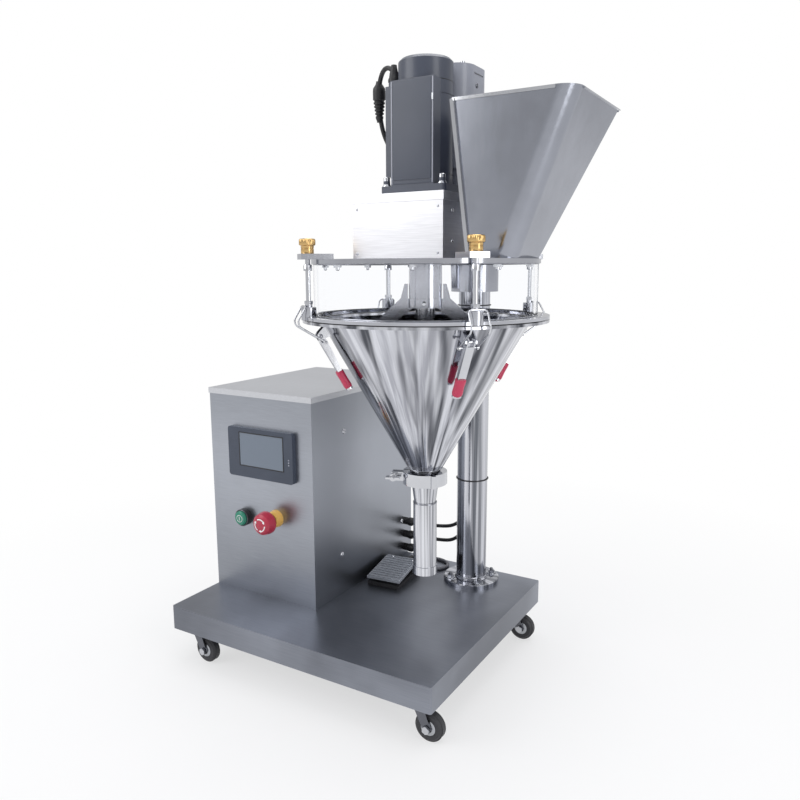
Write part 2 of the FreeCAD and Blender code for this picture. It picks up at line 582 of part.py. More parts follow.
# ---------------------------------------------------------------- column and head bracket
def column():
    top = "(spout_height + spout_length + taper_length + 2*ferrule_height + neck_length + cone_height + flange_height"
    top += " + gasket_height + catch_height + sight_height + head_plate + saddle_plate)"
    tube = turned("ColumnTube", [
        ("column_radius - column_wall", "foot_height"), ("column_radius", "foot_height"), ("column_radius", top),
        ("column_radius - 3", top + " + 3"), (0, top + " + 3"), (0, top + " - 3"),
        ("column_radius - column_wall", top + " - 3")])
    foot = turned("ColumnFoot", [
        (0, 0), ("foot_radius", 0), ("foot_radius", "foot_height - 1.5"), ("foot_radius - 1.5", "foot_height"),
        ("column_radius + 4", "foot_height"), ("column_radius", "foot_height + 4"), (0, "foot_height + 4")])
    bolts = []
    for index in range(4):
        angle = 45 + 90 * index
        spot = ("foot_ring*cos(%g)" % angle, "foot_ring*sin(%g)" % angle, "foot_height")
        bolts.append(hexagon("FootBolt%d" % index, spot, "bolt_size", "bolt_rise"))
    finish(fuse("Column", [tube, foot] + bolts), "column", (POST_X, POST_Y, DECK_TOP))


def head_arm():
    """A saddle clamped round the column, with a tongue that bolts to the head plate."""
    low = total(HOUSE_Z, "saddle_plate", "-saddle_height")
    front = "(%s + housing_back + 2)" % HEAD_Y
    saddle = rod("Saddle", (POST_X, POST_Y, low), "saddle_radius", "saddle_height")
    tongue = box("Tongue", (POST_X + " - saddle_width/2", front, HOUSE_Z),
                 ("saddle_width", "%s - %s" % (POST_Y, front), "saddle_plate"))
    rib = prism("TongueRib", [
        (0, 0), ("auger_front - column_front - head_radius - 2", 0), ("auger_front - column_front - head_radius - 2", "-8"),
        ("saddle_radius", "saddle_plate - saddle_height + 6"), (0, "saddle_plate - saddle_height + 6")],
        "saddle_plate", "YZ_Plane", True)
    ribs = [copy_of("RibLeft", rib, (POST_X + " - 20", POST_Y, HOUSE_Z), (Z_AXIS, 180)),
            copy_of("RibRight", rib, (POST_X + " + 20", POST_Y, HOUSE_Z), (Z_AXIS, 180))]
    bore = rod("SaddleBore", (POST_X, POST_Y, low + " - 1"), "column_radius", "saddle_height + 2")
    slit = block("SaddleSlit", (POST_X, POST_Y + " + saddle_radius", low + " - 1"), (3, "saddle_radius*1.4", "saddle_height + 2"))
    ears = block("SaddleEars", (POST_X, POST_Y + " + saddle_radius + 6", low), (26, 22, "saddle_height"))
    bolts = []
    for index, across in enumerate((-36, -12, 12, 36)):
        bolts.append(hexagon("TongueBolt%d" % index, (POST_X + " + %g" % across, front + " + 12", HOUSE_Z + " + saddle_plate"),
                             "bolt_size", "bolt_rise"))
    body = cut("ArmBody", fuse("ArmSolid", [saddle, tongue, ears] + ribs), fuse("ArmCuts", [bore, slit]))
    finish(fuse("Arm", [body] + bolts), "head_arm")


# ---------------------------------------------------------------- spout, tri-clamp and hopper
def nozzle_tube():
    rim = "spout_length + taper_length"
    lip = "(%s + ferrule_height)" % rim
    wall = "(taper_radius - 1.8)"
    body = turned("Nozzle", [
        ("spout_bore", 0), ("end_collar_radius", 0), ("end_collar_radius", "end_collar"), ("spout_radius", "end_collar"),
        ("spout_radius", "spout_length"), ("spout_bore + 1.6", "spout_length"), ("taper_radius", rim),
        ("taper_radius", lip + " - 5.5"), ("ferrule_radius", lip + " - 3"), ("ferrule_radius", lip), (wall, lip),
        (wall, rim), ("spout_bore", "spout_length")])
    at_head(body, "nozzle_tube", SPOUT_Z)


def tri_clamp():
    """A ring in three links that squeezes the two ferrules, with hinge pins and a bolt."""
    tall, back = "(2*ferrule_height)", "(taper_radius + 3)"
    ring = turned("ClampRing", [
        (back, 1), ("clamp_radius", 1), ("clamp_radius", tall + " - 1"), (back, tall + " - 1"),
        (back, "ferrule_height + 5.1"), ("ferrule_radius + clamp_clear", "ferrule_height + 3.3"),
        ("ferrule_radius + clamp_clear", "ferrule_height - 3.3"), (back, "ferrule_height - 5.1")])
    ears = []
    for name, low in (("EarNear", 1.5), ("EarFar", -7.5)):
        ear = box(name + "Block", ("clamp_radius - 2", low, "ferrule_height - 7"), ("clamp_ear", 6, 14))
        ears.append(copy_of(name, ear, (0, 0, 0), (Z_AXIS, -160)))
    bolt = rod("ClampBoltBar", ("clamp_radius + clamp_ear - 6", -9, "ferrule_height"), "clamp_bolt", 34, (X_AXIS, -90))
    knuckles = []
    for index, angle in enumerate((-40, 80)):
        spot = ("(clamp_radius + 2)*cos(%g)" % angle, "(clamp_radius + 2)*sin(%g)" % angle, 1)
        knuckles.append(rod("Knuckle%d" % index, spot, 4, tall + " - 2"))
    split = copy_of("ClampSplit", box("ClampSlot", (0, -1.5, 0), ("clamp_radius + 20", 3, tall)), (0, 0, 0), (Z_AXIS, -160))
    link = cut("ClampLinks", fuse("ClampSolid", [ring] + ears + knuckles), split)
    body = fuse("Clamp", [link, copy_of("ClampBolt", bolt, (0, 0, 0), (Z_AXIS, -160))])
    at_head(body, "tri_clamp", FERRULE_Z)

    hub = rod("WingHub", (0, 0, 0), "wing_radius", 9)
    wings = block("Wings", (0, 0, 2), ("wing_span", "wing_gauge", 12))
    bore = rod("WingBore", (0, 0, -1), "clamp_bolt + run_clear", 40)
    nut = cut("WingNut", fuse("WingBody", [hub, wings]), bore)
    spot = copy_of("WingOnBolt", nut, ("clamp_radius + clamp_ear - 6", "7.5 + seat_gap", "ferrule_height"), (X_AXIS, -90))
    at_head(copy_of("WingPlaced", spot, (0, 0, 0)), "wing_nut", FERRULE_Z, -160)


def hopper():
    """The cone with its flange and lower ferrule."""
    low, rim = "ferrule_height", "(ferrule_height + neck_length + cone_height)"
    neck, foot = "(taper_radius - 1.8)", "(taper_radius + 6)"
    shell = turned("Cone", [
        (neck, 0), ("ferrule_radius", 0), ("ferrule_radius", 3), ("taper_radius", 5.5), ("taper_radius", low),
        (foot, low + " + neck_length"), ("cone_radius", rim), ("flange_radius", rim), ("flange_radius", rim + " + flange_height"),
        ("cone_radius - cone_wall", rim + " + flange_height"), ("cone_radius - cone_wall*1.2", rim),
        (foot + " - cone_wall*1.2", low + " + neck_length"), (neck, low)])
    at_head(shell, "hopper_cone", CONE_Z)


def latch_seats():
    """Two ears and a pin for each latch, cut flush with the cone that they are welded to."""
    pivot_up = "(ferrule_height + neck_length + cone_height + flange_height + gasket_height + catch_height - pivot_drop)"
    face = turned("ConeFace", [
        (0, "ferrule_height + neck_length"), ("taper_radius + 6", "ferrule_height + neck_length"),
        ("cone_radius", "ferrule_height + neck_length + cone_height"), (0, "ferrule_height + neck_length + cone_height")])
    placed(face, (0, 0, "-" + pivot_up))
    seats = []
    ear = prism("LatchEar", [
        ("pivot_radius - ear_reach - 1.5", "3"), ("pivot_radius - 4", "-4"), ("pivot_radius", "-5"), ("pivot_radius + 4.5", "-2"),
        ("pivot_radius + 4.5", "2"), ("pivot_radius + 2", "6"), ("pivot_radius - 11.5", "20")], "ear_gauge", "XZ_Plane", True)
    for index, angle in enumerate(STATIONS):
        name = "LatchSeat%d" % index
        parts = [copy_of(name + "EarLow", ear, (0, "-(ear_gap + ear_gauge/2)", 0)),
                 copy_of(name + "EarHigh", ear, (0, "(ear_gap + ear_gauge/2)", 0)),
                 rod(name + "Pin", ("pivot_radius", "-(ear_gap + ear_gauge)", 0), "pin_radius",
                     "2*(ear_gap + ear_gauge)", (X_AXIS, -90))]
        trimmed = cut(name + "Trimmed", fuse(name + "Whole", parts), face)
        seats.append(placed(trimmed, (0, 0, 0), (Z_AXIS, angle)))
    at_head(group("LatchSeats", seats), "latch_seats", total(CONE_Z, pivot_up))


def rings():
    """The gasket, the catch ring with its bosses, the sight glass and the tie rods."""
    gasket = turned("Gasket", [("gasket_inner", 0), ("cone_radius + 8", 0), ("cone_radius + 8", "gasket_height"),
                               ("gasket_inner", "gasket_height")])
    at_head(gasket, "hopper_gasket", GASKET_Z)
    pieces = [turned("CatchRing", [("gasket_inner", 0), ("flange_radius", 0), ("flange_radius", "catch_height"),
                                   ("gasket_inner", "catch_height")])]
    rods = []
    for index, angle in enumerate(STATIONS):
        spot = ("rod_circle*cos(%g)" % angle, "rod_circle*sin(%g)" % angle)
        pieces.append(rod("Boss%d" % index, spot + (0,), "boss_radius", "catch_height + boss_rise"))
        pieces.append(rod("BossNeck%d" % index, spot + (0,), "boss_neck", "catch_height + boss_rise + neck_rise"))
        rods.append(rod("TieRod%d" % index, around("rod_circle", angle, SIGHT_Z + " + boss_rise + neck_rise"),
                        "rod_radius", "sight_height + head_plate + lug_height + knob_collar_height + 4 - boss_rise - neck_rise"))
    at_head(fuse("Catch", pieces), "catch_ring", CATCH_Z)
    finish(group("Rods", rods), "tie_rods")
    glass = turned("SightGlass", [("sight_radius - sight_wall", 0), ("sight_radius", 0), ("sight_radius", "sight_height"),
                                  ("sight_radius - sight_wall", "sight_height")])
    at_head(glass, "sight_ring", SIGHT_Z)


def latches():
    """A lever on the cone's pivot and a wire bail that hooks over the boss above it."""
    cheek = prism("LeverCheek", [
        ("-lever_deep", 3), (0, 5), ("lever_deep", 3), ("lever_deep", "-lever_length"), ("-1", "-lever_length"),
        ("-lever_deep", "-16")], "lever_gauge", "XZ_Plane", True)
    cheeks = [copy_of("CheekLeft", cheek, (0, "lever_half - lever_gauge/2", 0)),
              copy_of("CheekRight", cheek, (0, "lever_gauge/2 - lever_half", 0))]
    web = block("LeverWeb", ("lever_deep - lever_gauge/2", 0, "-lever_length"), ("lever_gauge", "2*lever_half", "lever_length - 5"))
    grip = rounded_block("LeverGrip", "2*grip_deep", "2*grip_half", "grip_deep - 0.5", "grip_length")
    placed(grip, ("lever_deep - 3", 0, "-lever_length - grip_length + 4"))
    bar = rod("BailPin", ("-throw_in", "-bail_half - 2", "-throw_down"), "bail_wire", "2*bail_half + 4", (X_AXIS, -90))
    bore = rod("LeverBore", (0, -10, 0), "pin_radius + run_clear", 20, (X_AXIS, -90))
    lever = cut("Lever", fuse("LeverBody", cheeks + [web, grip, bar]), bore)
    tilted = copy_of("LeverTilted", lever, ("pivot_radius", 0, 0), (Y_AXIS, value("latch_lean")))

    lean = math.radians(value("latch_lean"))
    throw = (value("throw_in"), value("throw_down"))
    pin_across = value("pivot_radius") - throw[0] * math.cos(lean) - throw[1] * math.sin(lean)
    pin_up = throw[0] * math.sin(lean) - throw[1] * math.cos(lean)
    wire, half = value("bail_wire"), value("bail_half")
    seat_across = value("rod_circle + boss_neck + seat_gap + bail_wire")
    seat_up = value("pivot_drop + boss_rise + seat_gap + bail_wire")
    bend = (value("bail_bend"), value("pivot_drop + boss_rise - bail_drop"))
    way = FreeCAD.Vector(bend[0] - pin_across, 0, bend[1] - pin_up).normalize()
    start = FreeCAD.Vector(pin_across, half, pin_up) + way * (value("eye_radius") - 0.6)
    side = [start, FreeCAD.Vector(bend[0], half, bend[1]), FreeCAD.Vector(seat_across, half, seat_up)]
    points = side + [FreeCAD.Vector(spot.x, -half, spot.z) for spot in reversed(side)]
    fillet = value("bail_fillet")
    loop = piped("BailWire", path_of(points, [2 * fillet, fillet, fillet, 2 * fillet]), wire)
    eyes = [rod("EyeLeft", (pin_across, half - 1.4, pin_up), "eye_radius", 2.8, (X_AXIS, -90)),
            rod("EyeRight", (pin_across, -half - 1.4, pin_up), "eye_radius", 2.8, (X_AXIS, -90))]
    hole = rod("EyeBore", (pin_across, -half - 5, pin_up), "bail_wire + run_clear", 2 * half + 10, (X_AXIS, -90))
    bail = cut("Bail", fuse("BailBody", [loop] + eyes), hole)
    pivot_z = total(SIGHT_Z, "-pivot_drop")
    for index, angle in enumerate(STATIONS):
        at_head(copy_of("Lever%d" % index, tilted, (0, 0, 0)), "latch_lever_%d" % (index + 1), pivot_z, angle)
        at_head(copy_of("Bail%d" % index, bail, (0, 0, 0)), "latch_bail_%d" % (index + 1), pivot_z, angle)


def top_plate():
    disc = rod("PlateDisc", (0, 0, 0), "head_radius", "head_plate")
    lugs = []
    holes = [rod("PlateBore", (0, 0, -1), "bearing_radius + seat_gap", "head_plate + 2")]
    for index, angle in enumerate(STATIONS):
        lug = block("LugBlock%d" % index, ("(lug_inner + lug_outer)/2", 0, "head_plate"),
                    ("lug_outer - lug_inner", "lug_width", "lug_height"))
        lugs.append(copy_of("Lug%d" % index, lug, (0, 0, 0), (Z_AXIS, angle)))
        spot = ("rod_circle*cos(%g)" % angle, "rod_circle*sin(%g)" % angle, -1)
        holes.append(rod("RodHole%d" % index, spot, "rod_radius + seat_gap", "head_plate + lug_height + 2"))
    inlet = box("InletBox", ("chute_left + feed_wall", "chute_front + feed_wall", -1),
                ("chute_width - 2*feed_wall", "chute_depth - 2*feed_wall", "head_plate + 2"))
    reach = rod("InletReach", (0, 0, -1), "sight_radius - sight_wall - 3", "head_plate + 2")
    mouth = doc.addObject("Part::Common", "Inlet")
    mouth.Base, mouth.Tool = inlet, reach
    plate = cut("Plate", fuse("PlateBody", [disc] + lugs), fuse("PlateHoles", holes + [mouth]))
    at_head(plate, "top_plate", PLATE_Z)


def knobs():
    knob = turned("Knob", [
        ("rod_radius + run_clear", 0), ("knob_collar_radius", 0), ("knob_collar_radius", "knob_collar_height"),
        ("knob_radius - 1", "knob_collar_height"), ("knob_radius", "knob_collar_height + 1"),
        ("knob_radius", "knob_collar_height + knob_height - 1.5"), ("knob_radius - 1.5", "knob_collar_height + knob_height"),
        (0, "knob_collar_height + knob_height"), (0, "knob_collar_height + 4 + seat_gap"),
        ("rod_radius + run_clear", "knob_collar_height + 4 + seat_gap")])
    for index, angle in enumerate(STATIONS):
        spot = around("rod_circle", angle, total(HOUSE_Z, "lug_height"))
        finish(copy_of("Knob%d" % index, knob, spot), "knob_%d" % (index + 1))


# ---------------------------------------------------------------- drive
def bearing_housing():
    bore, tall = "(sleeve_radius + run_clear)", "(bearing_length + bearing_flange_height)"
    body = turned("Bearing", [
        (bore, 0), ("bearing_radius", 0), ("bearing_radius", "bearing_length"), ("bearing_flange", "bearing_length"),
        ("bearing_flange", tall), (bore, tall), (bore, tall + " - bush_length"), ("sleeve_radius + 2", tall + " - bush_length"),
        ("sleeve_radius + 2", "bush_length"), (bore, "bush_length")])
    at_head(body, "bearing_housing", total(HOUSE_Z, "-bearing_length"))


def agitator():
    """A hollow shaft with the hub and two blades below it and a pulley above."""
    hub_z = "(-bearing_length - seat_gap - hub_height)"
    pulley_z = "(bearing_flange_height + seat_gap)"
    bore, rim = "(sleeve_bore)", "(pulley_radius + 4)"
    body = turned("Sleeve", [
        (bore, hub_z), ("hub_outer", hub_z), ("hub_outer", "-bearing_length - seat_gap"), ("sleeve_radius", "-bearing_length - seat_gap"),
        ("sleeve_radius", pulley_z), (rim, pulley_z), (rim, pulley_z + " + pulley_rim"), ("pulley_radius", pulley_z + " + pulley_rim"),
        ("pulley_radius", pulley_z + " + pulley_rim + pulley_width"), (rim, pulley_z + " + pulley_rim + pulley_width"),
        (rim, pulley_z + " + 2*pulley_rim + pulley_width"), (bore, pulley_z + " + 2*pulley_rim + pulley_width")])
    blade = prism("Blade", [
        (16, hub_z + " + 8"), ("hub_outer + 1.5", hub_z + " + hub_height"), ("hub_outer + 1.5", hub_z + " + hub_height + fin_height"),
        ("hub_outer + 6", hub_z + " + hub_height + fin_height"), ("hub_outer + 12", hub_z + " + hub_height"),
        ("hub_outer + 89", hub_z + " - 56"), ("hub_outer + 91", hub_z + " - 72"), ("blade_foot + 4", hub_z + " - 190"),
        ("blade_foot - 8", hub_z + " - 190"), ("hub_outer + 78", hub_z + " - 73"), ("hub_outer + 76", hub_z + " - 64"), (17, hub_z + " + 1")],
        "blade_gauge", "XZ_Plane", True)
    blades = [copy_of("BladeRight", blade, (0, 0, 0), (Z_AXIS, 20)), copy_of("BladeLeft", blade, (0, 0, 0), (Z_AXIS, 200))]
    at_head(fuse("Agitator", [body] + blades), "agitator", HOUSE_Z)


def auger():
    """One long screw: flights in the spout, a thick coupling in the hopper, a shaft to the motor."""
    hub_z = total(HOUSE_Z, "-bearing_length", "-hub_height", "-2*seat_gap")
    stop = "(%s - %s)" % (hub_z, SPOUT_Z)
    top = "(%s - %s + 14)" % (MOTOR_Z, SPOUT_Z)
    joint = "(%s - %s - coupling_height - 8)" % (MOTOR_Z, SPOUT_Z)
    core = turned("AugerCore", [
        (0, 3), ("core_radius - 2", 3), ("core_radius", 6), ("core_radius", stop + " - 60"), ("sleeve_radius + 0.5", stop + " - 52"),
        ("sleeve_radius + 0.5", stop), ("shaft_radius", stop), ("shaft_radius", joint), ("coupling_radius", joint),
        ("coupling_radius", joint + " + coupling_height"), ("shaft_radius", joint + " + coupling_height"), ("shaft_radius", top), (0, top)])
    inner, outer = value("core_radius") - 1, value("flight_radius")
    pitch, gauge = value("flight_pitch"), value("flight_gauge")
    helix = Part.makeHelix(pitch, pitch * value("flight_turns"), outer)
    corners = [FreeCAD.Vector(inner, 0, 0), FreeCAD.Vector(outer, 0, 0), FreeCAD.Vector(outer, 0, gauge),
               FreeCAD.Vector(inner, 0, gauge), FreeCAD.Vector(inner, 0, 0)]
    flight = doc.addObject("Part::Feature", "AugerFlight")
    flight.Shape = Part.Wire(helix).makePipeShell([Part.makePolygon(corners)], True, True)
    placed(flight, (0, 0, 6))
    at_head(fuse("Auger", [core, flight]), "auger", SPOUT_Z)


def drive_housing():
    tall = "(housing_height - housing_wall)"
    outer = box("HouseOuter", (HEAD_X + " - housing_width/2 + 2", HEAD_Y + " - housing_front", HOUSE_Z),
                ("housing_width", "housing_front + housing_back", tall))
    inner = box("HouseInner", (HEAD_X + " - housing_width/2 + 2 + housing_wall", HEAD_Y + " - housing_front + housing_wall", HOUSE_Z + " - 1"),
                ("housing_width - 2*housing_wall", "housing_front + housing_back - 2*housing_wall", tall + " + 2"))
    finish(cut("House", outer, inner), "drive_housing")
    cap = box("HouseCap", (HEAD_X + " - housing_width/2 + 2 - lid_overhang", HEAD_Y + " - housing_front - lid_overhang",
                           MOTOR_Z + " - housing_lid_skirt"),
              ("housing_width + 2*lid_overhang", "housing_front + housing_back + 2*lid_overhang", "housing_lid_skirt"))
    room = box("HouseRoom", (HEAD_X + " - housing_width/2 + 2", HEAD_Y + " - housing_front", MOTOR_Z + " - housing_lid_skirt - 1"),
               ("housing_width", "housing_front + housing_back", "housing_lid_skirt + 1 - housing_wall"))
    bores = [rod("ServoBore", (HEAD_X, HEAD_Y, MOTOR_Z + " - housing_wall - 1"), "coupling_radius", "housing_wall + 2"),
             rod("StirBore", (HEAD_X, HEAD_Y + " + stir_distance", MOTOR_Z + " - housing_wall - 1"), "coupling_radius", "housing_wall + 2")]
    finish(cut("HouseLid", cap, fuse("LidCuts", [room] + bores)), "housing_lid")


def belt_form(name, radius, tall):
    """The outline of a belt round two equal pulleys, as a solid."""
    ends = [rod(name + "Near", (0, 0, 0), radius, tall), rod(name + "Far", (0, "stir_distance", 0), radius, tall)]
    return fuse(name, ends + [box(name + "Run", ("-(%s)" % radius, 0, 0), ("2*(%s)" % radius, "stir_distance", tall))])


def stir_drive():
    low = total(HOUSE_Z, "bearing_flange_height", "seat_gap")
    back = HEAD_Y + " + stir_distance"
    rim = "(pulley_radius + 4)"
    reach = "(%s - %s + 12)" % (MOTOR_Z, low)
    pulley = turned("StirPulley", [
        (0, 0), (rim, 0), (rim, "pulley_rim"), ("pulley_radius", "pulley_rim"), ("pulley_radius", "pulley_rim + pulley_width"),
        (rim, "pulley_rim + pulley_width"), (rim, "2*pulley_rim + pulley_width"), ("stir_shaft", "2*pulley_rim + pulley_width"),
        ("stir_shaft", reach), (0, reach)])
    finish(pulley, "stir_pulley", (HEAD_X, back, low))
    outer = belt_form("BeltOuter", "pulley_radius + belt_slack + belt_gauge", "pulley_width - 2*belt_slack")
    inner = belt_form("BeltInner", "pulley_radius + belt_slack", "pulley_width")
    finish(cut("Belt", outer, inner), "drive_belt", (HEAD_X, HEAD_Y, low + " + pulley_rim + belt_slack"))
    gear = rounded_block("StirGear", "stir_gear_size", "stir_gear_size", "stir_round - 6", "stir_gear_height")
    motor = rounded_block("StirBody", "stir_size", "stir_size", "stir_round", "stir_height - stir_gear_height")
    placed(motor, (0, 0, "stir_gear_height"))
    bore = rod("StirMotorBore", (0, 0, -1), "stir_shaft + run_clear", 14)
    finish(cut("StirMotor", fuse("StirMotorBody", [gear, motor]), bore), "stir_motor", (HEAD_X, back, MOTOR_Z))


def servo():
    """A servo motor, round behind and flat in front, on a square flange, with its encoder cap."""
    front = "(servo_pad/2 + 6)"
    flange = rounded_block("ServoFlange", "servo_flange", "2*" + front, 5, "servo_flange_height")
    seam = "(servo_cap_radius - seam_depth)"
    round_back = turned("ServoRound", [
        (0, 0), ("servo_cap_radius", 0), ("servo_cap_radius", "2*servo_flange_height"), (seam, "2*servo_flange_height"),
        (seam, "2*servo_flange_height + 1.5"), ("servo_cap_radius", "2*servo_flange_height + 1.5"),
        ("servo_cap_radius", "servo_height + servo_flange_height - 20"), (seam, "servo_height + servo_flange_height - 20"),
        (seam, "servo_height + servo_flange_height - 18.5"), ("servo_cap_radius", "servo_height + servo_flange_height - 18.5"),
        ("servo_cap_radius", "servo_height + servo_flange_height"), (0, "servo_height + servo_flange_height")])
    pad = box("ServoPad", ("-servo_pad/2", "-" + front, 0), ("servo_pad", front, "servo_height + servo_flange_height"))
    duct = box("ServoDuct", ("-servo_bolts/2 - 7", -26, "2*servo_flange_height"), (26, 34, "servo_height - 2*servo_flange_height + 12"))
    socket = rod("ServoSocket", ("-servo_bolts/2 - 2.5", -9, "servo_height + 8"), 8, 16)
    bolts = []
    for index, (side_x, side_y) in enumerate(((1, 1), (1, -1), (-1, 1), (-1, -1))):
        spot = ("%d*servo_bolts/2" % side_x, "%d*(%s - 6)" % (side_y, front), "servo_flange_height")
        bolts.append(rod("ServoBolt%d" % index, spot, 5, 8))
    bore = rod("ServoMotorBore", (0, 0, -1), "shaft_radius + run_clear", 17)
    body = cut("ServoFrame", fuse("ServoBody", [flange, round_back, pad, duct, socket] + bolts), bore)
    cap = turned("ServoCap", [
        (0, 0), ("servo_cap_radius", 0), ("servo_cap_radius", "servo_cap_height - 4"), ("servo_cap_radius - 4", "servo_cap_height"),
        (0, "servo_cap_height")])
    placed(cap, (0, 0, total("servo_flange_height", "servo_height")))
    at_head(group("ServoMotor", [body, cap]), "servo_motor", MOTOR_Z)


# ---------------------------------------------------------------- feed hopper and pedal
def feed_hopper():
    outer = funnel("FeedOuter", [
        ("chute_left", "chute_front", "chute_width", "chute_depth", "chute_round"),
        ("feed_left", "feed_front", "feed_width", "feed_depth", "feed_round")], "feed_height")
    inner = funnel("FeedInner", [
        ("chute_left + feed_wall", "chute_front + feed_wall", "chute_width - 2*feed_wall", "chute_depth - 2*feed_wall", "chute_round - feed_wall"),
        ("feed_left + feed_wall", "feed_front + feed_wall", "feed_width - 2*feed_wall", "feed_depth - 2*feed_wall", "feed_round - feed_wall")],
        "feed_height")
    finish(cut("Feed", outer, inner), "feed_hopper", (HEAD_X, HEAD_Y, HOUSE_Z))


def pedal():
    turn = (Z_AXIS, value("pedal_turn"))
    front, low, high = "(-pedal_length/2)", "(pedal_front)", "(pedal_rear)"
    base = prism("PedalTub", [
        (front, 0), ("pedal_length/2", 0), ("pedal_length/2", high), ("pedal_length/2 - 16", high),
        ("pedal_length/2 - 16", "pedal_mat + 4"), (front, "pedal_mat + 4")], "pedal_width - 4", "YZ_Plane", True)
    lugs = [block("PedalLug%d" % index, ("%d*(pedal_width/2 - 6)" % side, "pedal_length/2 - 24", "pedal_mat"), (5, 12, high + " - pedal_mat - 3"))
            for index, side in enumerate((-1, 1))]
    pin = rod("PedalPin", ("-(pedal_width/2 - 4)", "pedal_length/2 - 24", "pedal_rear - 7"), "treadle_pin", "pedal_width - 8", (Y_AXIS, 90))
    boot = rod("PedalBoot", (0, "pedal_length/2", "pedal_rear/2"), 5, 16, (X_AXIS, -90))
    spot = (total(CABINET_RIGHT, "pedal_across"), "deck_rear - pedal_in", DECK_TOP)
    body = copy_of("PedalBase", fuse("PedalBody", [base, boot, pin] + lugs), spot, turn)
    finish(body, "pedal_base")

    span = "(pedal_length/2 - 17)"
    tread = prism("TreadlePlate", [
        (front, low), (front, low + " + treadle_gauge"), (span, high + " + treadle_gauge"), (span, high)],
        "pedal_width", "YZ_Plane", True)
    ribs = []
    for index in range(int(value("rib_count"))):
        along = "(-pedal_length/2 + 4 + rib_pitch*%d)" % index
        rise = "(%s + treadle_gauge - 0.5 + (%s - %s)*(%s + pedal_length/2)/(%s + pedal_length/2))" % (low, high, low, along, span)
        ribs.append(block("TreadleRib%d" % index, (0, along, rise), ("pedal_width - 6", "rib_width", "rib_height + 1")))
    bracket = block("TreadleBoss", (0, "pedal_length/2 - 24", "pedal_rear - 12"), ("pedal_width - 20", 10, 14))
    hinge = rod("TreadleBore", ("-pedal_width/2", "pedal_length/2 - 24", "pedal_rear - 7"), "treadle_pin + run_clear", "pedal_width", (Y_AXIS, 90))
    tread_all = cut("Treadle", fuse("TreadleBody", [tread, bracket] + ribs), hinge)
    finish(copy_of("TreadlePlaced", tread_all, spot, turn), "pedal_treadle")


# ---------------------------------------------------------------- leads
def run_from(anchor, *points):
    """Points of a lead, each given from a place on the machine."""
    corner = FreeCAD.Vector(*[value(part) for part in anchor])
    return [corner + FreeCAD.Vector(*point) for point in points]


def bends_of(points, share=0.45):
    radii = []
    for index in range(1, len(points) - 1):
        before, after = points[index] - points[index - 1], points[index + 1] - points[index]
        turn = before.getAngle(after)
        radii.append(share * min(before.Length, after.Length) / math.tan(turn / 2))
    return radii


def lead(name, spots, radius):
    return piped(name, path_of(spots, bends_of(spots)), value(radius))


def leads():
    motor, arm = (HEAD_X, HEAD_Y, MOTOR_Z), (POST_X, POST_Y, HOUSE_Z)
    foot, gland = (POST_X, POST_Y, DECK_TOP), gland_spot(0, 0)
    servo_lead = run_from(motor, (-48.5, -9, 169.5), (-48.5, -9, 184.6), (-68, -4, 191.6), (-85, 7, 173.6),
                          (-89, 12, 136.6), (-85, 22, 91.6), (-73, 62, 51.6), (-65, 112, 35.6), (-67, 158, 7.6))
    servo_lead += run_from(arm, (-58, -18, 48), (-55, 28, -8), (-38, 49, -58))
    servo_lead += run_from(foot, (-28, 48, 300), (-30, 47, 100), (-52, 45, 52))
    servo_lead += run_from(gland, (73.5, 0, 44), (20, 0, 44))
    stir_lead = run_from(motor, (-15, 131, 161.6), (-15, 146, 161.6), (-19, 160, 146.6), (-25, 166, 101.6),
                         (-31, 170, 41.6))
    stir_lead += run_from(arm, (-32, -36, 72), (-49, 8, 26), (-44, 41, -18), (-23, 51, -68))
    stir_lead += run_from(foot, (-18, 51, 300), (-22, 50, 140), (-48, 47, 84))
    stir_lead += run_from(gland, (75.5, 0, 72), (20, 0, 72))
    motors = group("Leads", [lead("ServoLead", servo_lead, "lead_radius"), lead("StirLead", stir_lead, "lead_radius")])
    finish(motors, "motor_leads")
    pedal_cord = run_from(gland, (36.5, -46.1, 11), (34.7, -29, 10), (41.5, -11, 6), (63.5, 2, 3.2), (89.5, 3, 3.2),
                          (109.5, -11, 3.2), (109.5, -35, 3.2), (91.5, -49, 3.2), (69.5, -43, 6), (55.5, -23, 14),
                          (39.5, 0, 16), (20, 0, 16))
    finish(lead("PedalCord", pedal_cord, "cord_radius"), "pedal_cord")


# ---------------------------------------------------------------- the whole machine
for make in (base_deck, base_rails, casters, cabinet, panel, start_button, emergency_stop, cable_glands, column, head_arm,
             nozzle_tube, tri_clamp, hopper, latch_seats, rings, latches, top_plate, knobs, bearing_housing, agitator, auger,
             drive_housing, stir_drive, servo, feed_hopper, pedal, leads):
    make()
doc.recompute()

for item in doc.Objects:
    if "Invalid" in item.State or "Error" in item.State:
        raise RuntimeError("%s failed to build" % item.Label)
os.makedirs("parts", exist_ok=True)
whole = FreeCAD.BoundBox()
for shape in finished:
    if shape.Shape.isNull() or not shape.Shape.isValid():
        raise RuntimeError("%s has no valid shape" % shape.Label)
    whole.add(shape.Shape.BoundBox)
    shape.Shape.exportStep("parts/%s.step" % shape.Label)
print("%d pieces" % len(finished), whole)
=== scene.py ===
"""Dresses the auger powder filler: camera, light, materials and the small pieces."""
import math

import bpy
import bmesh
from mathutils import Matrix, Vector


